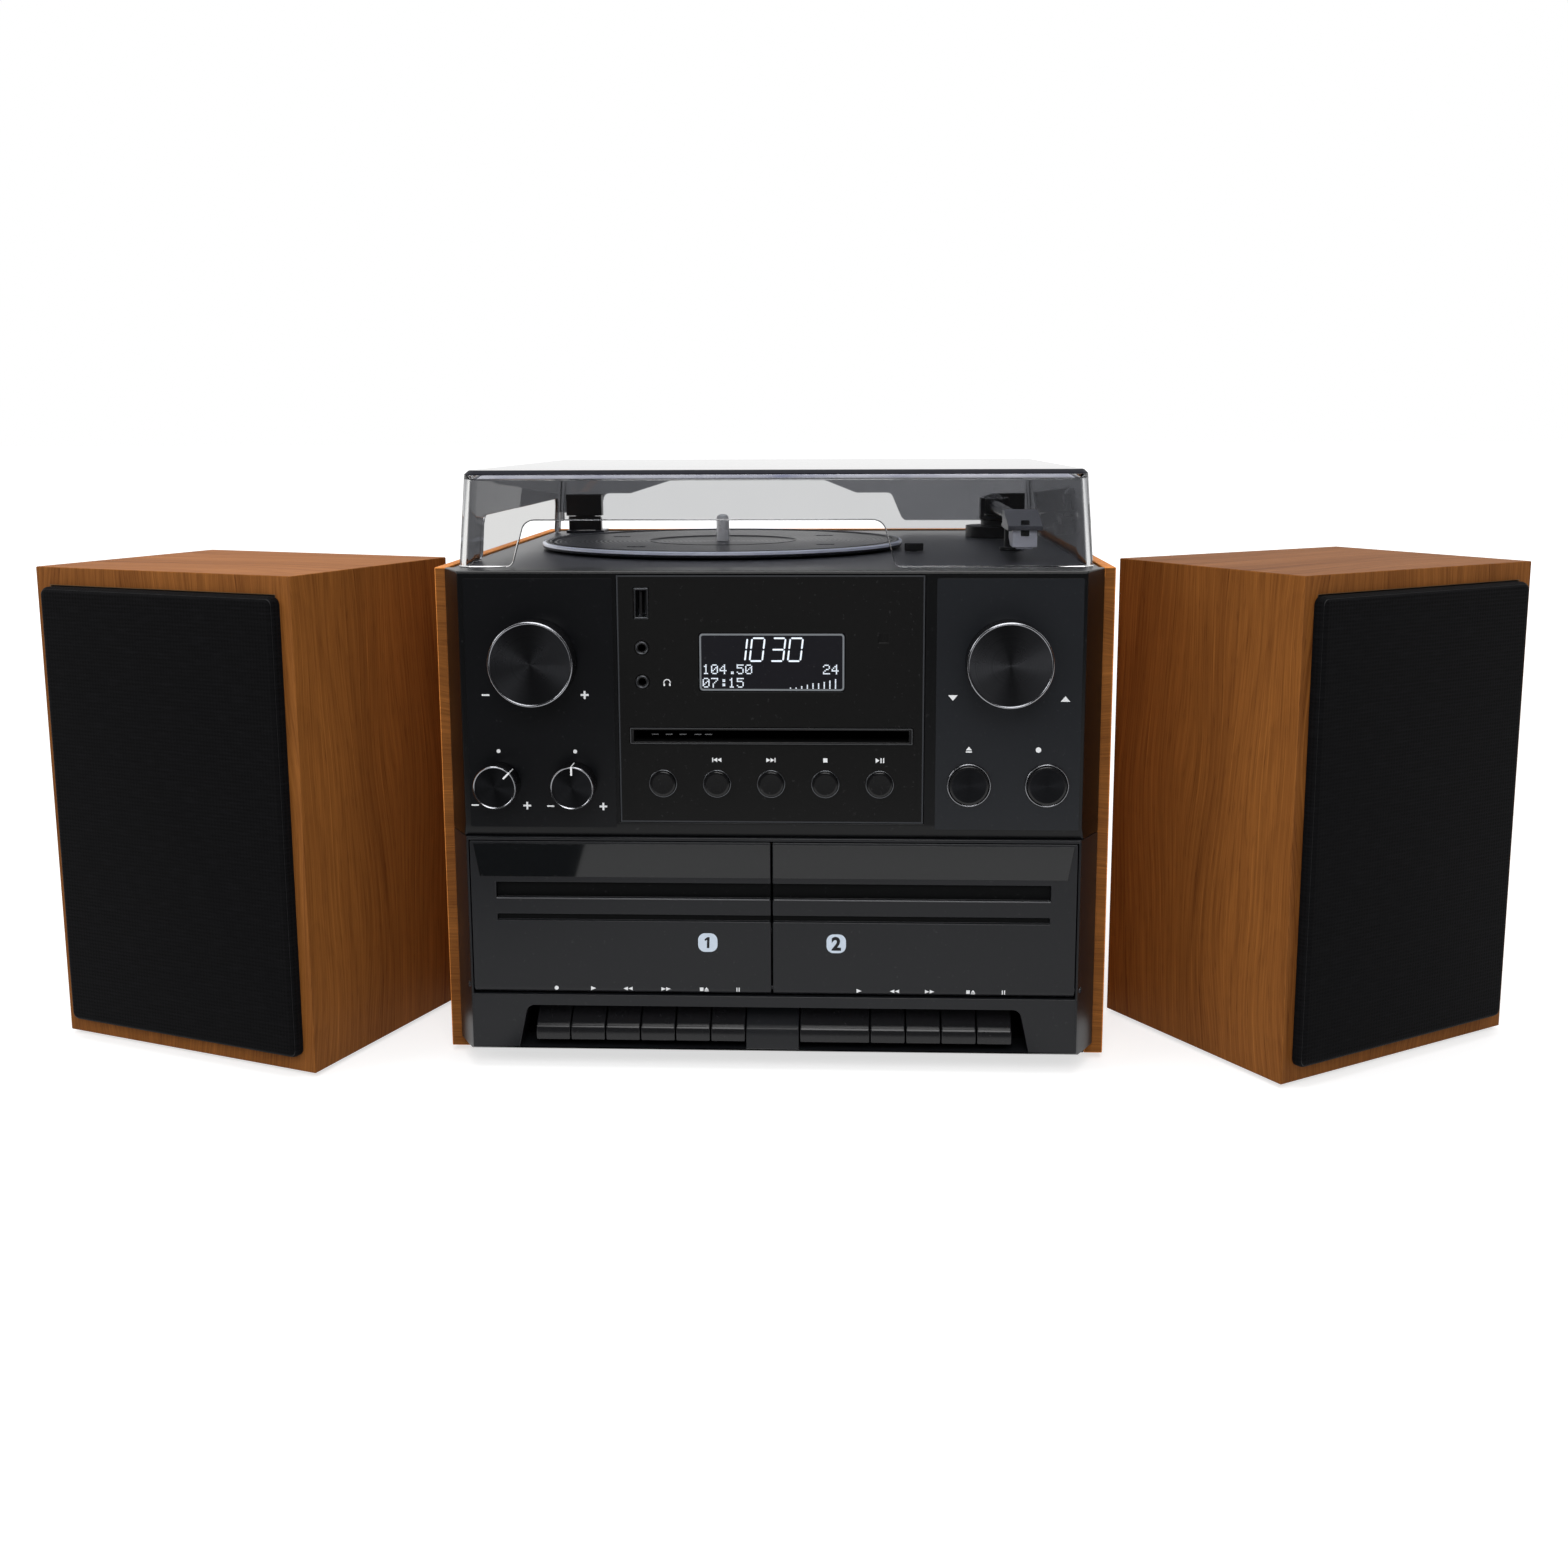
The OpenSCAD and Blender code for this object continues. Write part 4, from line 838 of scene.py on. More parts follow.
def symbol(kind, x, z, s, wide=1.0):
    """Transport symbols, made of plain triangles, bars and squares"""
    t = s * 0.12
    cross = ((-t, -s / 2), (t, -s / 2), (t, -t), (s / 2, -t), (s / 2, t), (t, t))

    def two(way):
        return [triangle(x + k * s * 0.42 * wide, z, s * 0.8 * wide, s * 0.9, way) for k in (-1, 1)]

    return {
        "play": lambda: [triangle(x, z, s * 0.9 * wide, s, 1)],
        "rewind": lambda: two(-1),
        "forward": lambda: two(1),
        "previous": lambda: symbol("rewind", x + t, z, s) + [rect(x - s * 0.82, z, s * 0.2, s * 0.9)],
        "next": lambda: symbol("forward", x - t, z, s) + [rect(x + s * 0.82, z, s * 0.2, s * 0.9)],
        "stop": lambda: [rect(x, z, s * 0.85, s * 0.85)],
        "pause": lambda: [rect(x + k * s * 0.26, z, s * 0.24, s) for k in (-1, 1)],
        "play_pause": lambda: [triangle(x - s * 0.45, z, s * 0.8, s, 1), *symbol("pause", x + s * 0.5, z, s)],
        "eject": lambda: [triangle(x, z + s * 0.2, s, s * 0.62, 2), rect(x, z - s * 0.38, s, s * 0.22)],
        "stop_eject": lambda: symbol("stop", x - s * 0.55, z, s) + symbol("eject", x + s * 0.62, z, s),
        "dot": lambda: [disc(x, z, s * 0.42, 20)],
        "plus": lambda: [[(x + k * a, z + k * b) for k in (1, -1) for a, b in cross]],
        "minus": lambda: [rect(x, z, s, s * 0.22)],
    }[kind]()


def numeral(name, text, x, z, height, y_front, depth, ink):
    """A plain numeral as a thin solid, its middle at (x, z)"""
    words = bpy.data.curves.new(name, "FONT")
    words.body, words.size, words.extrude = text, height, depth / 2
    words.align_x, words.align_y = "CENTER", "CENTER"
    words.offset = height * 0.04
    made = bpy.data.objects.new(name, words)
    bpy.context.scene.collection.objects.link(made)
    bpy.context.view_layer.update()
    mesh = bpy.data.meshes.new_from_object(made.evaluated_get(bpy.context.evaluated_depsgraph_get()))
    bpy.data.objects.remove(made)
    left, low = (min(v.co[i] for v in mesh.vertices) for i in range(2))
    right, high = (max(v.co[i] for v in mesh.vertices) for i in range(2))
    for v in mesh.vertices:
        a, b, c = v.co
        v.co = (x + a - (left + right) / 2, y_front + depth / 2 - c, z + b - (low + high) / 2)
    bm = bmesh.new()
    bm.from_mesh(mesh)
    bmesh.ops.remove_doubles(bm, verts=bm.verts, dist=1e-7)
    return from_bmesh(name, bm, ink, smooth=False)


# ---------- repeated parts, by Geometry Nodes ----------


def ring_shape(g, take):
    """A wire ring, its axis along Y"""
    path, wire = (
        g.node("GeometryNodeCurvePrimitiveCircle", {"Resolution": steps, "Radius": take[size]}).outputs[0]
        for steps, size in ((96, "Radius"), (12, "Wire"))
    )
    tube = g.node("GeometryNodeCurveToMesh", {"Curve": path, "Profile Curve": wire}).outputs[0]
    return g.node("GeometryNodeTransform", {"Geometry": tube, "Rotation": (math.pi / 2, 0, 0)})


def screw_shape(g, take):
    """A slotted pan head that points along Y"""
    inputs = {"Vertices": 24, "Side Segments": 1, "Fill Segments": 1}
    inputs |= {"Radius": take["Radius"], "Depth": take["Height"]}
    head = g.node("GeometryNodeMeshCylinder", inputs).outputs["Mesh"]
    bar = g.node("GeometryNodeMeshCube", {"Size": (0.0090, 0.0008, 0.004)}).outputs["Mesh"]
    lift = g.node("GeometryNodeTransform", {"Geometry": bar, "Translation": (0, 0, 0.0021)}).outputs[0]
    cut = g.node("GeometryNodeMeshBoolean", {"Mesh 1": head, "Mesh 2": lift}, operation="DIFFERENCE")
    return g.node("GeometryNodeTransform", {"Geometry": cut.outputs[0], "Rotation": (-math.pi / 2, 0, 0)})


def dot_shape(g, take):
    return g.node("GeometryNodeMeshCube", {"Size": take["Size"]})


SHAPES = {
    "Trim ring": (ring_shape, [("Radius", "Float", 0.01), ("Wire", "Float", 0.0004)]),
    "Screws": (screw_shape, [("Radius", "Float", 0.003), ("Height", "Float", 0.0015)]),
    "Display dots": (dot_shape, [("Size", "Vector", (0.0005, 0.00005, 0.0005))]),
}


@once
def repeater(kind):
    """A Geometry Nodes tree that sets one shape on each point of a mesh"""
    shape, inputs = SHAPES[kind]
    inputs = [("Geometry", "Geometry", None), *inputs, ("Material", "Material", None)]
    g, take = open_group(kind, "GeometryNodeTree", inputs, [("Geometry", "Geometry")])
    points = g.node("GeometryNodeMeshToPoints", {"Mesh": take["Geometry"]}).outputs[0]
    inputs = {"Points": points, "Instance": shape(g, take).outputs[0]}
    copies = g.node("GeometryNodeInstanceOnPoints", inputs).outputs[0]
    made = g.node("GeometryNodeRealizeInstances", {0: copies}).outputs[0]
    if kind != "Display dots":
        made = g.node("GeometryNodeSetShadeSmooth", {0: made}).outputs[0]
    made = g.node("GeometryNodeSetMaterial", {0: made, "Material": take["Material"]}).outputs[0]
    g.node("NodeGroupOutput", {"Geometry": made})
    return g.tree


def repeated(node, name, kind, places, material, slot=None, **values):
    """One shape on each of the places, as a plain mesh that goes with a CAD node"""
    mesh = bpy.data.meshes.new(name)
    mesh.from_pydata([tuple(p) for p in places], [], [])
    made = link(bpy.data.objects.new(name, mesh))
    step = made.modifiers.new("Build", "NODES")
    step.node_group = repeater(kind)
    values["Material"] = finish(material)
    for item in step.node_group.interface.items_tree:
        if item.in_out == "INPUT" and item.name in values:
            step[item.identifier] = values[item.name]
    applied(made)
    if kind == "Trim ring":
        bm = bmesh.new()
        bm.from_mesh(made.data)
        bmesh.ops.recalc_face_normals(bm, faces=bm.faces)
        bm.to_mesh(made.data)
        bm.free()
    return goes_with(node, made)


# ---------- boards ----------

# finish 2 is a paler foil for the rounded edges: a painted highlight
RAW, EDGE_HIGHLIGHT, RIM, REAR_EDGE_LIT = 1, 2, 3, 4  # finishes of the boards, after the foil


def grain_map(made, local, number_of, rim_across=False):
    """UVs in metres on every board: fibres run up the sides and across the tops; rounded edges
    get a paler foil as a painted highlight, and fronts may have their fibres across"""
    mesh = made.data
    layer = mesh.uv_layers.new(name="Grain")
    seats = mesh.attributes.new("board", "FLOAT_VECTOR", "FACE")
    for face in mesh.polygons:
        side, seat, turn = local(face.center)
        n = turn @ face.normal
        for index in face.loop_indices:
            x, y, z = turn @ (mesh.vertices[mesh.loops[index].vertex_index].co - seat)
            if abs(n.z) > max(abs(n.x), abs(n.y)):
                layer.data[index].uv = (y, x)
            elif abs(n.x) > abs(n.y):
                layer.data[index].uv = (y, z)
            elif rim_across and n.y < 0:
                layer.data[index].uv = (z, x)
            else:
                layer.data[index].uv = (x, z)
        # rounded edges get the paler foil, a painted highlight where they catch the light
        if 0.25 < abs(n.x) < 0.97 or 0.25 < abs(n.z) < 0.97:
            face.material_index = EDGE_HIGHLIGHT
        way = 0 if abs(n.z) > 0.7 else (1 if n.x > 0.7 else (2 if n.x < -0.7 else 3))
        number = number_of(side, way)
        seats.data[face.index].vector = (number, number * 1.7, number)


# ---------- operators ----------


class MUSIC_OT_cabinet(bpy.types.Operator):
    """Foil-covered boards of the main unit"""

    bl_idname = "music.cabinet"
    bl_label = "Cabinet"

    def execute(self, context):
        foils = ("Walnut foil, worn edge", "Walnut foil, rims", "Walnut foil, rear edge")
        made = dressed("cabinet_shell", "Walnut foil", "Raw board", *foils, width=sizes().wood_edge)
        still = Matrix.Identity(3)
        grain_map(made, lambda c: (0, Vector(), still), lambda side, way: 5 + way, rim_across=True)
        for face in made.data.polygons:
            c, n = face.center, face.normal
            if n.y < -0.97 and c.y < -0.15:
                face.material_index = RIM
            # the rear board's top takes the much paler foil: painted light and reflection
            elif n.z > 0.5 and c.z > 0.2385 and c.y > 0.1435 and abs(c.x) < 0.155:
                face.material_index = REAR_EDGE_LIT
            if abs(c.x) < 0.1505 and c.y < 0.15 and abs(n.z) < 0.5:
                face.material_index = RAW
        return {"FINISHED"}


class MUSIC_OT_base(bpy.types.Operator):
    """Base plate and rubber feet"""

    bl_idname = "music.base"
    bl_label = "Base and feet"

    def execute(self, context):
        dressed("base_plate", "Matt black plastic")
        dressed("rubber_feet", "Foot rubber", width=0.0006)
        return {"FINISHED"}


class MUSIC_OT_front(bpy.types.Operator):
    """Moulded upper front, with a pale line printed round the centre panel as a painted highlight on its seam
    """

    bl_idname = "music.front"
    bl_label = "Upper front"

    def execute(self, context):
        dressed("front_fascia", "Front plastic", whole=False)
        dressed("display_panel", "Gloss panel", width=0.0003)
        # a pale printed ring round the panel: painted highlight on its seam
        seam = 0.0007
        outline = rect(0, PANEL_Z, PANEL_W, PANEL_H)
        hole = rect(0, PANEL_Z, PANEL_W - 2 * seam, PANEL_H - 2 * seam)
        printed("display_panel", "panel_seam", [(outline, hole)], FACE_Y, "Panel seam")
        z, h, corner, edge, knob_hole = 0.1779, 0.1172, 0.0008, 0.00008, 0.0170
        # each plate takes its own tone: painted shade at the left, painted light at the right
        for side, name, inner, outer, row, row_hole in (
            (-1, "left", 0.0728, 0.1420, TONE_X, 0.0085),
            (1, "right", 0.0763, 0.1430, ROUND_X, 0.0100),
        ):
            shape = rounded_rect(side * (inner + outer) / 2, z, outer - inner, h, corner, 4)
            prisms = [(shape, FACE_Y - PLATE_RISE, PLATE_RISE)]
            plate = flat_solid("front_plate_" + name, prisms, "Front plate, " + name)
            self.drill(plate, disc(side * KNOB_X, KNOB_Z, knob_hole, 64))
            for x in row:
                self.drill(plate, disc(x, ROW_Z, row_hole, 64))
            goes_with("front_fascia", soften(plate, edge, 1))
        return {"FINISHED"}

    def drill(self, made, outline):
        """A hole through a plate"""
        tool = flat_solid("drill", [(outline, FACE_Y - 0.002, 0.004)])
        cut = made.modifiers.new("Hole", "BOOLEAN")
        cut.object, cut.operation, cut.solver = tool, "DIFFERENCE", "EXACT"
        applied(made)
        bpy.data.objects.remove(tool)


DOT_ROWS = {
    "0": "01110 10001 10011 10101 11001 10001 01110",
    "1": "00100 01100 00100 00100 00100 00100 01110",
    "2": "01110 10001 00001 00110 01000 10000 11111",
    "4": "00010 00110 01010 10010 11111 00010 00010",
    "5": "11111 10000 11110 00001 00001 10001 01110",
    "7": "11111 00001 00010 00100 01000 01000 01000",
    ".": "00000 00000 00000 00000 00000 00110 00110",
    ":": "00000 00110 00110 00000 00110 00110 00000",
}


class MUSIC_OT_display(bpy.types.Operator):
    """Display window with lit digits, bars and frame line"""

    bl_idname = "music.display"
    bl_label = "Display"

    def execute(self, context):
        dressed("lcd_module", "Display glass", width=0.0002)
        y = FACE_Y + 0.0003
        line = tuple(
            rounded_rect(LCD_X, LCD_Z, LCD_W - less, LCD_H - less, r)
            for less, r in ((0.0006, 0.0016), (0.0022, 0.0009))
        )
        printed("lcd_module", "display_frame_line", [line], y, "Display frame line")
        bars = []
        for digit, x in (("1", -0.0141), ("0", -0.0061), ("3", 0.0035), ("0", 0.0115)):
            bars += self.seven_segment(digit, x, 0.2037, 0.0058, 0.0106)
        printed("lcd_module", "display_digits", bars, y, "Lit segments")
        left, upper, lower = -0.0312, 0.1965, 0.1902
        dots = []
        for text, x, top in (("104.50", left, upper), ("24", 0.0245, upper), ("07:15", left, lower)):
            dots += self.dot_text(text, x, top)
        for i in range(9):  # strength bars
            dots += [(0.0092 + i * 0.0026, 0.1858 + j * DOT_PITCH) for j in range(1 + i * 6 // 8)]
        dots = [(x, y - 0.00002, z) for x, z in dots]
        size = (0.00056, 0.00004, 0.00052)
        repeated("lcd_module", "display_dots", "Display dots", dots, "Lit segments", Size=size)
        return {"FINISHED"}

    def seven_segment(self, digit, x, z, w, h):
        """Slanted seven-segment digit as pointed bars"""
        thick, slant, gap = 0.00078, 0.12, 0.00025
        flat, tall = w / 2 - gap, h / 4 - gap
        t = thick / 2
        places = {
            "a": (0, h / 2), "g": (0, 0), "d": (0, -h / 2),
            "b": (w / 2, h / 4), "c": (w / 2, -h / 4), "f": (-w / 2, h / 4), "e": (-w / 2, -h / 4),
        }
        made = []
        for key in {"0": "abcdef", "1": "bc", "3": "abgcd"}[digit]:
            dx, dz = places[key]
            cx, cz = x + dx + slant * dz, z + dz
            if key in "agd":
                a, b = flat, flat - t
                points = ((-a, 0), (-b, -t), (b, -t), (a, 0), (b, t), (-b, t))
                made.append([(cx + p, cz + q) for p, q in points])
            else:
                a, b = tall, tall - t
                points = ((0, -a), (t, -b), (t, b), (0, a), (-t, b), (-t, -b))
                made.append([(cx + p + slant * q, cz + q) for p, q in points])
        return made

    def dot_text(self, text, left, top):
        """Places of the dots of plain numbers"""
        return [
            (left + (k * 6 + column) * DOT_PITCH, top - row * DOT_PITCH)
            for k, sign in enumerate(text)
            for row, line in enumerate(DOT_ROWS[sign].split())
            for column, on in enumerate(line)
            if on == "1"
        ]


class MUSIC_OT_slot(bpy.types.Operator):
    """Disc slot with its surround, and the drive behind it"""

    bl_idname = "music.disc_slot"
    bl_label = "Disc slot"

    def execute(self, context):
        def part(c, n):
            if c.y < FACE_Y + 0.0006:
                return 0
            return 1 if abs(c.z - SLOT_Z) < 0.0029 and abs(c.x) < 0.0641 else 2

        dressed("cd_mechanism", "Slot surround", "Slot throat", "Bright steel", width=0.00025, assign=part)
        edge = tuple(
            rounded_rect(0, SLOT_Z, 0.1312 - less, 0.0076 - less, r)
            for less, r in ((0, 0.0006), (0.0008, 0.0004))
        )
        printed("cd_mechanism", "slot_lip", [edge], FACE_Y - 0.0004, "Slot edge line")
        glints = [(x, FACE_Y + 0.0011, SLOT_Z + 0.0006) for x in (-0.054, -0.0475, -0.041, -0.034, -0.029)]
        size = (0.0032, 0.0006, 0.0004)
        repeated("cd_mechanism", "slot_glints", "Display dots", glints, "Bright steel", Size=size)
        return {"FINISHED"}


class MUSIC_OT_sockets(bpy.types.Operator):
    """USB and jack sockets in the front"""

    bl_idname = "music.front_sockets"
    bl_label = "Front sockets"

    def execute(self, context):
        node = "front_sockets"
        dressed(node, "Socket shell", "Socket body", width=0.0002, assign=lambda c, n: int(c.z <= 0.214))
        for z in JACK_Z:
            name, places = f"jack_ring_{int(z * 1e4)}", [(SOCKET_X, FACE_Y - 0.0002, z)]
            repeated(node, name, "Trim ring", places, "Dull jack ring", Radius=0.0026, Wire=0.00035)
        middle = (SOCKET_X - 0.0003, FACE_Y + 0.0058, USB_Z)
        size = (0.0012, 0.0084, 0.0106, 1)
        bm = bmesh.new()
        bmesh.ops.create_cube(bm, size=1.0, matrix=Matrix.Translation(middle) @ Matrix.Diagonal(size))
        tongue = soften(from_bmesh("usb_tongue", bm, "Socket body"), 0.0002)
        goes_with(node, tongue)
        return {"FINISHED"}


class MUSIC_OT_knobs(bpy.types.Operator):
    """Two large knobs with bright rims and spun faces, on their shafts"""

    bl_idname = "music.knobs"
    bl_label = "Large knobs"

    def execute(self, context):
        r, h, bore = 0.0197, 0.015, 0.0031
        profile = [
            (0.0, 0.0114), (bore, 0.0114), (bore, 0.0017), (r - 0.0007, 0.0017), (r - 0.0002, 0.0019),
            (r, 0.0023), (r, h - 0.0010), (r, h - 0.0008), (r - 0.0001, h - 0.0004),
            (r - 0.00035, h - 0.0001), (r - 0.0007, h), (r - 0.0010, h - 0.0001), (r - 0.0012, h - 0.0004),
            (r - 0.0013, h - 0.0007), (0.0, h - 0.0007),
        ]
        for side, name in ((-1, "volume"), (1, "select")):
            finishes = ("Knob skirt", "Knob rim", "Spun knob face")
            turned(name + "_knob", side * KNOB_X, KNOB_Z, profile, (7, 6, 1), *finishes, steps=128)
            paint(name + "_shaft", "Bright steel")
        return {"FINISHED"}


class MUSIC_OT_tone_knobs(bpy.types.Operator):
    """Bass and treble knobs, each with a white pointer"""

    bl_idname = "music.tone_knobs"
    bl_label = "Tone knobs"

    def execute(self, context):
        r, h, stem = 0.0102, 0.012, 0.0030
        profile = [
            (0.0, -0.012), (stem, -0.012), (stem, 0.0005), (r - 0.0004, 0.0005), (r, 0.0010),
            (r, h - 0.0008), (r, h - 0.0006), (r - 0.0001, h - 0.0003), (r - 0.0004, h),
            (r - 0.0007, h - 0.0001), (r - 0.0009, h - 0.0003), (r - 0.0010, h - 0.0006), (0.0, h - 0.0006),
        ]
        # the pointer, on the face and down the side: inner and outer radius, half width, front, depth
        strips = (
            (r - 0.0042, r - 0.00005, 0.0004, FACE_Y - h - 0.00005, 0.0008),
            (r - 0.0002, r + 0.0001, 0.0003, FACE_Y - h + 0.0009, 0.0080),
        )
        for x, node, turn in ((TONE_X[0], "bass_knob", 45.0), (TONE_X[1], "treble_knob", 0.0)):
            finishes = ("Knob skirt", "Knob rim", "Spun tone face")
            turned(node, x, ROW_Z, profile, (6, 5, 1), *finishes, steps=96)
            sine, cosine = math.sin(math.radians(turn)), math.cos(math.radians(turn))
            prisms = []
            for low, high, half, front, depth in strips:
                corners = ((low, -half), (low, half), (high, half), (high, -half))
                outline = [(x + sine * p + cosine * q, ROW_Z + cosine * p - sine * q) for p, q in corners]
                prisms.append((outline, front, depth))
            goes_with(node, flat_solid(node + ".pointer", prisms, "Pointer white"))
        return {"FINISHED"}


class MUSIC_OT_buttons(bpy.types.Operator):
    """Round push buttons and their thin rings"""

    bl_idname = "music.buttons"
    bl_label = "Round buttons"

    def execute(self, context):
        wire = sizes().ring_wire * 0.5
        for x, node in zip(ROUND_X, ("eject_button", "record_button")):
            self.button(node, x, 0.0092, "Knob skirt", "Spun button face")
            self.rings("front_fascia", node + "_ring", [x], -0.0009, "Knob rim", 0.0098, wire)
        for i, x in enumerate(BUTTON_X):
            self.button(f"panel_button_{i + 1}", x, 0.00595, "Panel button", "Panel button")
        self.rings("display_panel", "panel_button_rings", BUTTON_X, 0.0001, "Dull trim", 0.0063, 0.00028)
        return {"FINISHED"}

    def rings(self, node, name, row, behind, material, radius, wire):
        places = [(x, FACE_Y + behind, ROW_Z) for x in row]
        repeated(node, name, "Trim ring", places, material, Radius=radius, Wire=wire)

    def button(self, node, x, r, side, face):
        low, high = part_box(node)
        h, tail = FACE_Y - low.y, FACE_Y - high.y
        flange = tail + 0.001
        profile = [
            (0.0, tail), (r + 0.001, tail), (r + 0.001, flange), (r, flange), (r, h - 0.0006),
            (r - 0.0002, h - 0.0002), (r - 0.0006, h), (r - 0.0012, h), (0.0, h - 0.0001),
        ]
        turned(node, x, ROW_Z, profile, (7, 1), side, face, steps=72, sharp=35)


class MUSIC_OT_cassette(bpy.types.Operator):
    """Cassette surround, the two doors, their window strips and numbered badges"""

    bl_idname = "music.cassette_front"
    bl_label = "Cassette front"

    def execute(self, context):
        dressed("cassette_surround", "Door plastic", whole=False)
        for side, number in ((-1, "1"), (1, "2")):
            node = "cassette_door_" + number
            dressed(node, "Door plastic", "Door groove", segments=3, width=0.0006, assign=self.part)
            low, high = DOOR_STRIP_Z
            corners = ((DOOR_EDGE_X, low), (0.1387, low), (0.1415, high), (DOOR_EDGE_X, high))
            strip = [([(side * x, z) for x, z in corners], FACE_Y - 0.0003, 0.0003)]
            goes_with(node, soften(flat_solid("window_strip_" + number, strip, "Window strip"), 0.00012))
            self.badge(node, number, side * 0.0305, 0.0634)
            goes_with(node, mark_sharp(self.lip("groove_lip_" + number, side), 50))
        return {"FINISHED"}

    def part(self, c, n):
        # faces inside the upper groove take the near-black finish: painted shade in the recess
        inside = abs(c.x) < 0.133 and 0.072 < c.z < 0.093
        return int(inside and c.y > FACE_Y + 0.0007 and n.z < 0.4)

    def badge(self, node, number, x, z):
        size, corner = 0.0092, 0.0034
        printed(node, "badge_" + number, [rounded_rect(x, z, size, size, corner)], FACE_Y, "Badge")
        name, ink = "badge_numeral_" + number, "Badge numeral"
        if number == "1":
            stroke = (
                (-0.0005, -0.0027), (0.0007, -0.0027), (0.0009, 0.0027), (-0.0001, 0.0027),
                (-0.0015, 0.0017), (-0.0014, 0.0008), (-0.0003, 0.0013),
            )
            printed(node, name, [[(x + a, z + b) for a, b in stroke]], FACE_Y - 0.00005, ink)
        else:
            goes_with(node, numeral(name, number, x, z, 0.0088, FACE_Y - 0.0001, 0.00005, ink))

    def lip(self, name, side):
        """The rounded lip under the upper groove: half a rod, paler than the door as a painted highlight"""
        y, z, r, steps = FACE_Y + 0.0001, 0.0845, 0.0004, 6
        bm = bmesh.new()
        angles = [math.pi * k / steps for k in range(steps + 1)]
        ends = [
            [bm.verts.new((side * x, y - r * math.sin(a), z + r * math.cos(a))) for a in angles]
            for x in (0.0012, 0.1310)
        ]
        for k in range(steps):
            bm.faces.new([ends[0][k], ends[1][k], ends[1][k + 1], ends[0][k + 1]])
        bm.faces.new([ends[0][0], ends[0][steps], ends[1][steps], ends[1][0]])
        for ring in ends:
            bm.faces.new(ring)
        return from_bmesh(name, bm, "Groove lip")


class MUSIC_OT_keys(bpy.types.Operator):
    """Piano keys under the cassette doors"""

    bl_idname = "music.piano_keys"
    bl_label = "Piano keys"

    def execute(self, context):
        for node in sorted(n for n in NODES if n.startswith("key_")):
            dressed(node, "Key plastic", width=0.0007, segments=3)
        return {"FINISHED"}


class MUSIC_OT_marks(bpy.types.Operator):
    """Printed symbols on the front, the panel and the doors"""

    bl_idname = "music.marks"
    bl_label = "Printed symbols"

    def execute(self, context):
        shapes = []
        for kind, x, z, size in (
            ("minus", -0.1329, 0.1822, 0.0036), ("plus", -0.0865, 0.1824, 0.0038),
            ("minus", -0.1396, 0.1297, 0.0034), ("plus", -0.1149, 0.1296, 0.0036),
            ("minus", -0.1038, 0.1294, 0.0034), ("plus", -0.0789, 0.1294, 0.0036),
            ("dot", -0.1277, 0.1556, 0.0022), ("dot", -0.0916, 0.1556, 0.0022),
            ("eject", 0.0917, 0.1573, 0.0028), ("dot", 0.1237, 0.1573, 0.0030),
        ):
            shapes += symbol(kind, x, z, size)
        for x, z, way in ((0.0840, 0.1815, -2), (0.1355, 0.1812, 2)):
            shapes.append(triangle(x, z, 0.0044, 0.0026, way))
        ink = "White print"
        printed("front_fascia", "front_print", shapes, FACE_Y - PLATE_RISE, ink)
        shapes = []
        for x, kind in zip(BUTTON_X[1:], ("previous", "next", "stop", "play_pause")):
            shapes += symbol(kind, x, 0.1519, 0.0023)
        # headphones over the lower socket: an arc and two ear pieces
        x, z, r = -0.0480, 0.1882, 0.0017
        shapes.append(arc(x, z, r, 0, 1, 16) + arc(x, z, r - 0.0004, 1, 0, 16))
        shapes += [rect(x + way * 0.0013, z - 0.0009, 0.0007, 0.0012) for way in (-1, 1)]
        printed("display_panel", "panel_print", shapes, FACE_Y, ink)
        # over the keys
        kinds = ("dot", "play", "rewind", "forward", "stop_eject", "pause")
        for number, kinds_here, row in (
            ("1", kinds, (-0.1034, -0.0856, -0.0690, -0.0508, -0.0326, -0.0163)),
            ("2", kinds[1:], (0.0414, 0.0582, 0.0748, 0.0941, 0.1097)),
        ):
            shapes = []
            for kind, x in zip(kinds_here, row):
                shapes += symbol(kind, x, 0.0402, 0.0024 if kind == "dot" else 0.0020, 1.35)
            printed("cassette_door_" + number, "key_print_" + number, shapes, FACE_Y, ink)
        return {"FINISHED"}


class MUSIC_OT_deck(bpy.types.Operator):
    """Top deck of the record player with its platter and spindle"""

    bl_idname = "music.deck"
    bl_label = "Deck and platter"

    def execute(self, context):
        dressed("turntable_deck", "Deck plastic")
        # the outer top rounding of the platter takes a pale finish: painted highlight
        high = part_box("platter")[1]
        rim_r, rim_z = high.x - PLATTER_X - 0.0013, high.z - 0.0018

        def part(c, n):
            return int(math.hypot(c.x - PLATTER_X, c.y - PLATTER_Y) > rim_r and c.z > rim_z)

        dressed("platter", "Platter mat", "Platter rim", width=0.0009, segments=3, assign=part)
        dressed("record_spindle", "Spindle chrome", width=0.0002)
        return {"FINISHED"}


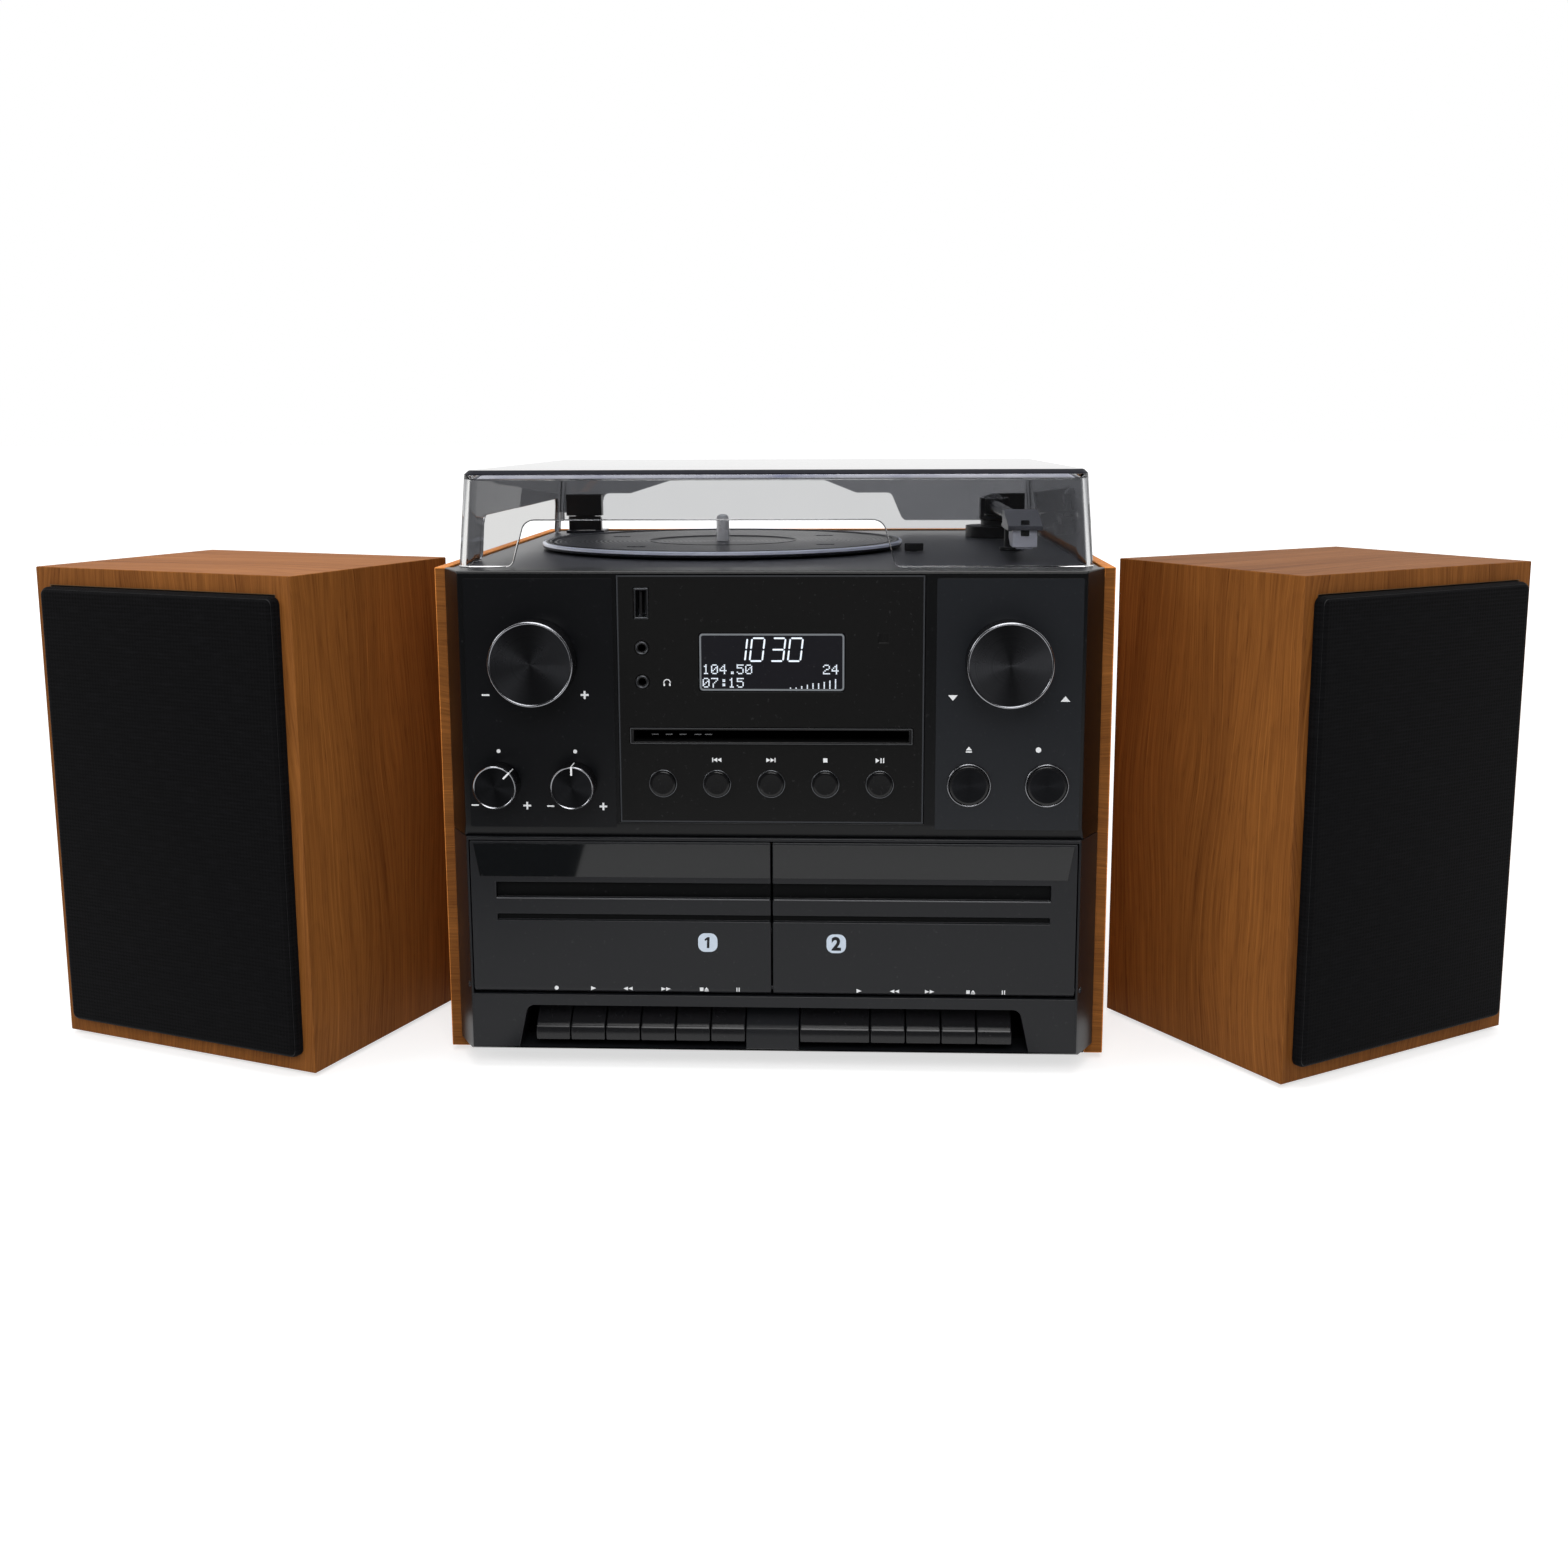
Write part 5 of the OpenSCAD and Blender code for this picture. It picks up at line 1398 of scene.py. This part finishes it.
class MUSIC_OT_tonearm(bpy.types.Operator):
    """Tone arm with its base, gimbal, headshell and cartridge, and the two small levers"""

    bl_idname = "music.tonearm"
    bl_label = "Tone arm"

    def execute(self, context):
        dark = "Arm plastic"
        dressed("tonearm_base", dark, width=0.0004)
        dressed("tonearm_gimbal", dark, width=0.0003)
        dressed("tonearm", "Arm tube", "Headshell", "Bright steel", width=0.0003,
                assign=lambda c, n: 1 if c.y < -0.0735 else (2 if c.y > 0.092 else 0))
        dressed("cartridge", "Cartridge body", width=0.0003)
        low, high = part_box("cartridge")
        inlay = rounded_rect((low.x + high.x) / 2, high.z - 0.0052, 0.0042, 0.0078, 0.0004, 3)
        rise = 0.00025
        made = flat_solid("cartridge_inlay", [(inlay, low.y - rise, rise)], "Matt black plastic")
        goes_with("cartridge", made)
        dressed("cue_lever", dark, "Lever tip", width=0.0003,
                assign=lambda c, n: int(c.y < 0.0475 and c.z > 0.2505 and abs(c.x - 0.1415) < 0.002))
        dressed("speed_lever", dark, width=0.0004)
        return {"FINISHED"}


class MUSIC_OT_cover(bpy.types.Operator):
    """Smoked dust cover with its hinges"""

    bl_idname = "music.dust_cover"
    bl_label = "Dust cover"

    def execute(self, context):
        node = "dust_cover"
        bm = cad_copy(node)
        low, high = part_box(node)
        for vert in bm.verts:
            # the front cut-out is wider than the platter, more so at the right
            way = vert.co.x - PLATTER_X
            if vert.co.y < low.y + 0.010 and vert.co.z < low.z + 0.0225 and 0.060 < abs(way) < 0.104:
                vert.co.x += 0.0072 if way > 0 else -0.0040
        made = from_turned(node + ".finished", bm, "Smoked acrylic", "Smoked acrylic, sides", "Cover rim")
        made = soften(made, 0.0006, 3, 25)
        for face in made.data.polygons:
            n = face.normal
            # the rounded front edge of the top takes the opaque dark finish: painted shade
            shaded_front_edge = 0.12 < n.z < 0.985 and n.y < -0.1 and face.center.z > high.z - 0.0024
            face.material_index = 2 if shaded_front_edge else int(abs(n.x) > 0.97)
        goes_with(node, made, replaces=True)
        dressed("lid_hinge_arms", "Hinge plastic", width=0.0004)
        dressed("hinge_brackets", "Dark plate", width=0.0002)
        # a block below each hinge barrel, in front of its bracket
        low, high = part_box("lid_hinge_arms")
        top, bottom = low.z + 0.0062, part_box("hinge_brackets")[0].z + 0.0018
        for side, edge in (("left", low.x), ("right", high.x)):
            middle = edge + math.copysign(0.01125, -edge)
            shape = rounded_rect(middle, (top + bottom) / 2, 0.0205, top - bottom, 0.0006, 3)
            made = flat_solid("hinge_cover_" + side, [(shape, low.y + 0.0025, 0.0012)], "Hinge plastic")
            goes_with("hinge_brackets", made)
        return {"FINISHED"}


class MUSIC_OT_speakers(bpy.types.Operator):
    """Loudspeaker boxes with their baffles and drivers"""

    bl_idname = "music.speakers"
    bl_label = "Loudspeakers"

    def execute(self, context):
        finishes = ("Walnut foil, boxes", "Raw board", "Walnut foil, worn edge", "Walnut foil, rims")
        made = dressed("speaker_cabinets", *finishes, width=sizes().wood_edge)
        turns = {k: (k, seat, Matrix.Rotation(-turn, 3, "Z")) for k, (seat, turn) in SPEAKERS.items()}

        def local(centre):
            return turns["left" if centre.x < 0 else "right"]

        grain_map(made, local, lambda side, way: way + (0 if side == "left" else 11))
        for face in made.data.polygons:
            side, seat, turn = local(face.center)
            c = turn @ (face.center - seat)
            if (turn @ face.normal).y < -0.97 and c.y < 0.001:
                face.material_index = RIM
            elif abs(c.x) < 0.0700 and 0.006 < c.z < 0.231 and c.y < 0.116:
                face.material_index = RAW
        dressed("speaker_baffles", "Matt black plastic", width=0.0003)
        dressed("speaker_drivers", "Driver cone", width=0.0003)
        return {"FINISHED"}


class MUSIC_OT_grilles(bpy.types.Operator):
    """Cloth grilles on their frames"""

    bl_idname = "music.grilles"
    bl_label = "Grilles"

    def execute(self, context):
        for side, (seat, turn) in SPEAKERS.items():
            node = side + "_grille"
            at = Matrix.Translation(seat) @ Matrix.Rotation(turn, 4, "Z")
            wrap = goes_with(node, mark_sharp(self.cloth(node + ".cloth", at), 60))
            frame_piece = goes_with(node, self.frame_piece(node + ".frame", at), replaces=True)
        return {"FINISHED"}

    def cloth(self, name, at):
        """Cloth over one loudspeaker's frame: a front with rounded edges that wraps round the sides"""
        r, thick, corner = sizes().cloth_edge, 0.00045, 0.0042
        x_half, z_low, z_high = 0.0712, 0.0098, 0.2297
        front, back = -0.0057, -0.0002
        z_mid, z_half = (z_low + z_high) / 2, (z_high - z_low) / 2
        bends = [math.radians(90 * i / 6) for i in range(7)]
        outer = [(r * (1 - math.sin(a)), front + r * (1 - math.cos(a))) for a in bends] + [(0.0, back)]
        bm = bmesh.new()
        uv = bm.loops.layers.uv.new("Weave")

        def ring(inset, y):
            w, h = 2 * (x_half - inset), 2 * (z_half - inset)
            shape = rounded_rect(0, z_mid, w, h, max(corner - inset, 0.0006), 6)
            return [bm.verts.new((x, y, z)) for x, z in shape]

        rings, reach = [], [0.0]  # reach: how far each ring is from the front's edge, along the cloth
        for k, (inset, y) in enumerate(outer):
            rings.append(ring(inset, y))
            if k:
                reach.append(reach[-1] + math.hypot(inset - outer[k - 1][0], y - outer[k - 1][1]))
        for inset, y in reversed(outer):
            deeper = y + (thick if inset > 1e-4 else 0)
            rings.append(ring(max(min(inset + thick, r), thick), min(deeper, back)))
        reach += reach[::-1]

        def unroll(v, extra):
            """Cloth coordinates: the front as it lies, and the wrap laid out flat beside it"""
            x, y, z = v.co
            past_x, past_z = abs(x) - (x_half - r), abs(z - z_mid) - (z_half - r)
            if past_x > past_z:
                return (math.copysign(x_half - r + extra, x) if past_x > 0 else x, z)
            return (x, z_mid + math.copysign(z_half - r + extra, z - z_mid) if past_z > 0 else z)

        def skin(first, last):
            for k in range(first, last):
                low, high = rings[k], rings[k + 1]
                for i in range(len(low)):
                    j = (i + 1) % len(low)
                    for loop in bm.faces.new([low[i], low[j], high[j], high[i]]).loops:
                        loop[uv].uv = unroll(loop.vert, reach[k] if loop.vert in low else reach[k + 1])

        def cap(edge):
            for loop in bm.faces.new(edge).loops:
                loop[uv].uv = (loop.vert.co.x, loop.vert.co.z)

        skin(0, len(outer) - 1)
        cap(rings[0])
        skin(len(outer) - 1, len(rings) - 1)
        cap(rings[-1])
        bm.transform(at)
        return from_bmesh(name, bm, "Grille cloth")

    def frame_piece(self, name, at):
        """Moulded frame with a cross bar and four pegs"""
        mid, tall, wide, bar = 0.11975, 0.2179, 0.1404, 0.0095
        front, depth = -0.0050, 0.0047
        bm = bmesh.new()
        hole = rounded_rect(0, mid, wide - 2 * bar, tall - 2 * bar, 0.002)
        prism(bm, rounded_rect(0, mid, wide, tall, 0.003), front, depth, hole)
        prism(bm, rect(0, 0.133, wide - 2 * bar + 0.002, 0.006), front + 0.001, depth - 0.002)
        lying = Matrix.Rotation(math.radians(-90), 4, "X")
        for x in (-0.062, 0.062):
            for z in (0.018, 0.221):
                bmesh.ops.create_cone(bm, cap_ends=True, segments=24, radius1=0.0024, radius2=0.0022,
                                      depth=0.0078, matrix=Matrix.Translation((x, 0.0019, z)) @ lying)
        bm.transform(at)
        return soften(from_bmesh(name, bm, "Matt black plastic"), 0.0003)


class MUSIC_OT_rear(bpy.types.Operator):
    """Rear socket plates, and the screws of the back board"""

    bl_idname = "music.rear"
    bl_label = "Rear sockets"

    def execute(self, context):
        dressed("rear_socket_plates", "Matt black plastic", width=0.0003)
        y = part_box("cabinet_shell")[1].y + 0.0006
        places = [(x, y, z) for x in (-0.150, 0.150) for z in (0.03, 0.12, 0.21)]
        head = {"Radius": 0.0032, "Height": 0.0012}
        repeated("cabinet_shell", "rear_screws", "Screws", places, "Black screw", "socket_metal", **head)
        return {"FINISHED"}


class MUSIC_OT_works(bpy.types.Operator):
    """Parts inside the cabinet"""

    bl_idname = "music.works"
    bl_label = "Inside parts"

    def execute(self, context):
        paint("circuit_boards", "Circuit board", "Matt black plastic", "Bright steel",
              assign=lambda c, n: 0 if c.y < 0.0 or c.z < 0.0175 else (2 if c.x < -0.08 else 1))
        for node, name in (
            ("transformer", "Core laminations"),
            ("cassette_mechanisms", "Bright steel"),
            ("pivot_rods", "Dark rod"),
            ("turntable_motor", "Motor can"),
            ("drive_belt", "Belt rubber"),
            ("motor_pulley", "Brass"),
        ):
            paint(node, name)
        return {"FINISHED"}


class MUSIC_OT_stage(bpy.types.Operator):
    """Pale floor, soft light and the camera at the photograph's angle"""

    bl_idname = "music.stage"
    bl_label = "Stage"

    def execute(self, context):
        bm = bmesh.new()
        bmesh.ops.create_grid(bm, x_segments=1, y_segments=1, size=30)
        from_turned("floor", bm, "Pale floor", smooth=False)
        self.world()
        s = staging()
        for name, where, size, power in (
            ("Front lamp", (0.1, -2.2, 1.9), 1.6, s.key_power),
            ("Top lamp", (0.0, 0.1, 2.4), 2.2, s.top_power),
            ("Side lamp", (-2.2, -1.2, 1.3), 1.2, s.side_power),
        ):
            self.lamp(name, Vector(where), size, power)
        self.camera()
        return {"FINISHED"}

    def world(self):
        made = bpy.data.worlds.new("Studio")
        bpy.context.scene.world = made
        made.use_nodes = True
        g = Graph(made.node_tree)
        g.tree.nodes.clear()
        path = g.node("ShaderNodeLightPath").outputs
        way = g.split(g.where("Generated"))
        behind = g.remap(way[1], -0.1, 0.12, 0.035, 1.0, smooth=True)
        sharp = g.math("MAXIMUM", path["Is Camera Ray"], path["Is Transmission Ray"])
        level = g.remap(sharp, 0.0, 1.0, staging().world_fill, 1.0)
        gloss = g.mul(path["Is Glossy Ray"], g.sub(behind, level))
        back = g.node("ShaderNodeBackground", {"Color": (1, 1, 1, 1), "Strength": g.add(level, gloss)})
        g.node("ShaderNodeOutputWorld", {0: back.outputs[0]})

    def lamp(self, name, where, size, power):
        data = bpy.data.lights.new(name, "AREA")
        data.shape, data.size, data.energy = "DISK", size, power
        made = bpy.data.objects.new(name, data)
        bpy.context.scene.collection.objects.link(made)
        made.location = where
        made.rotation_mode = "QUATERNION"
        made.rotation_quaternion = (Vector((0, 0, 0.1)) - where).to_track_quat("-Z", "Y")

    def camera(self):
        pitch, yaw, roll = 0.1673, -0.0442, 0.0039
        ahead = Vector((math.sin(yaw) * math.cos(pitch), math.cos(yaw) * math.cos(pitch), -math.sin(pitch)))
        level = Vector((math.cos(yaw), -math.sin(yaw), 0))
        down = ahead.cross(level)
        right = level * math.cos(roll) + down * math.sin(roll)
        up = level * math.sin(roll) - down * math.cos(roll)
        data = bpy.data.cameras.new("Camera")
        data.sensor_width, data.lens, data.shift_y = 36.0, staging().lens, -0.0472
        data.clip_start, data.clip_end = 0.01, 100
        made = bpy.data.objects.new("Camera", data)
        bpy.context.scene.collection.objects.link(made)
        turn = Matrix([(right[i], up[i], -ahead[i]) for i in range(3)]).to_4x4()
        made.matrix_world = Matrix.Translation((0.0399, -0.9351, 0.3045)) @ turn
        bpy.context.scene.camera = made
        bpy.context.scene.view_settings.view_transform = "Standard"


class MUSIC_PT_panel(bpy.types.Panel):
    """Lists the pieces and their settings"""

    bl_idname = "MUSIC_PT_panel"
    bl_label = "Music centre"
    bl_space_type = "VIEW_3D"
    bl_region_type = "UI"
    bl_category = "Music centre"

    def draw(self, context):
        for group in (colours(), sizes(), staging()):
            box = self.layout.box()
            for key in group.__annotations__:
                box.prop(group, key)
        for cls in OPERATORS:
            self.layout.operator(cls.bl_idname)


SETTINGS = {
    "music_centre_colours": MusicCentreColours,
    "music_centre_sizes": MusicCentreSizes,
    "music_centre_stage": MusicCentreStage,
}
OPERATORS = (
    MUSIC_OT_cabinet, MUSIC_OT_base, MUSIC_OT_front, MUSIC_OT_display, MUSIC_OT_slot, MUSIC_OT_sockets,
    MUSIC_OT_knobs, MUSIC_OT_tone_knobs, MUSIC_OT_buttons, MUSIC_OT_cassette, MUSIC_OT_keys, MUSIC_OT_marks,
    MUSIC_OT_deck, MUSIC_OT_tonearm, MUSIC_OT_cover, MUSIC_OT_speakers, MUSIC_OT_grilles, MUSIC_OT_rear,
    MUSIC_OT_works, MUSIC_OT_stage,
)
CLASSES = (*SETTINGS.values(), *OPERATORS, MUSIC_PT_panel)


def register():
    for cls in CLASSES:
        bpy.utils.register_class(cls)
    for name, cls in SETTINGS.items():
        setattr(bpy.types.Scene, name, bpy.props.PointerProperty(type=cls))


def unregister():
    for name in SETTINGS:
        delattr(bpy.types.Scene, name)
    for cls in reversed(CLASSES):
        bpy.utils.unregister_class(cls)


def main():
    register()
    for cls in OPERATORS:
        area, name = cls.bl_idname.split(".")
        getattr(getattr(bpy.ops, area), name)()


if __name__ == "__main__":
    main()
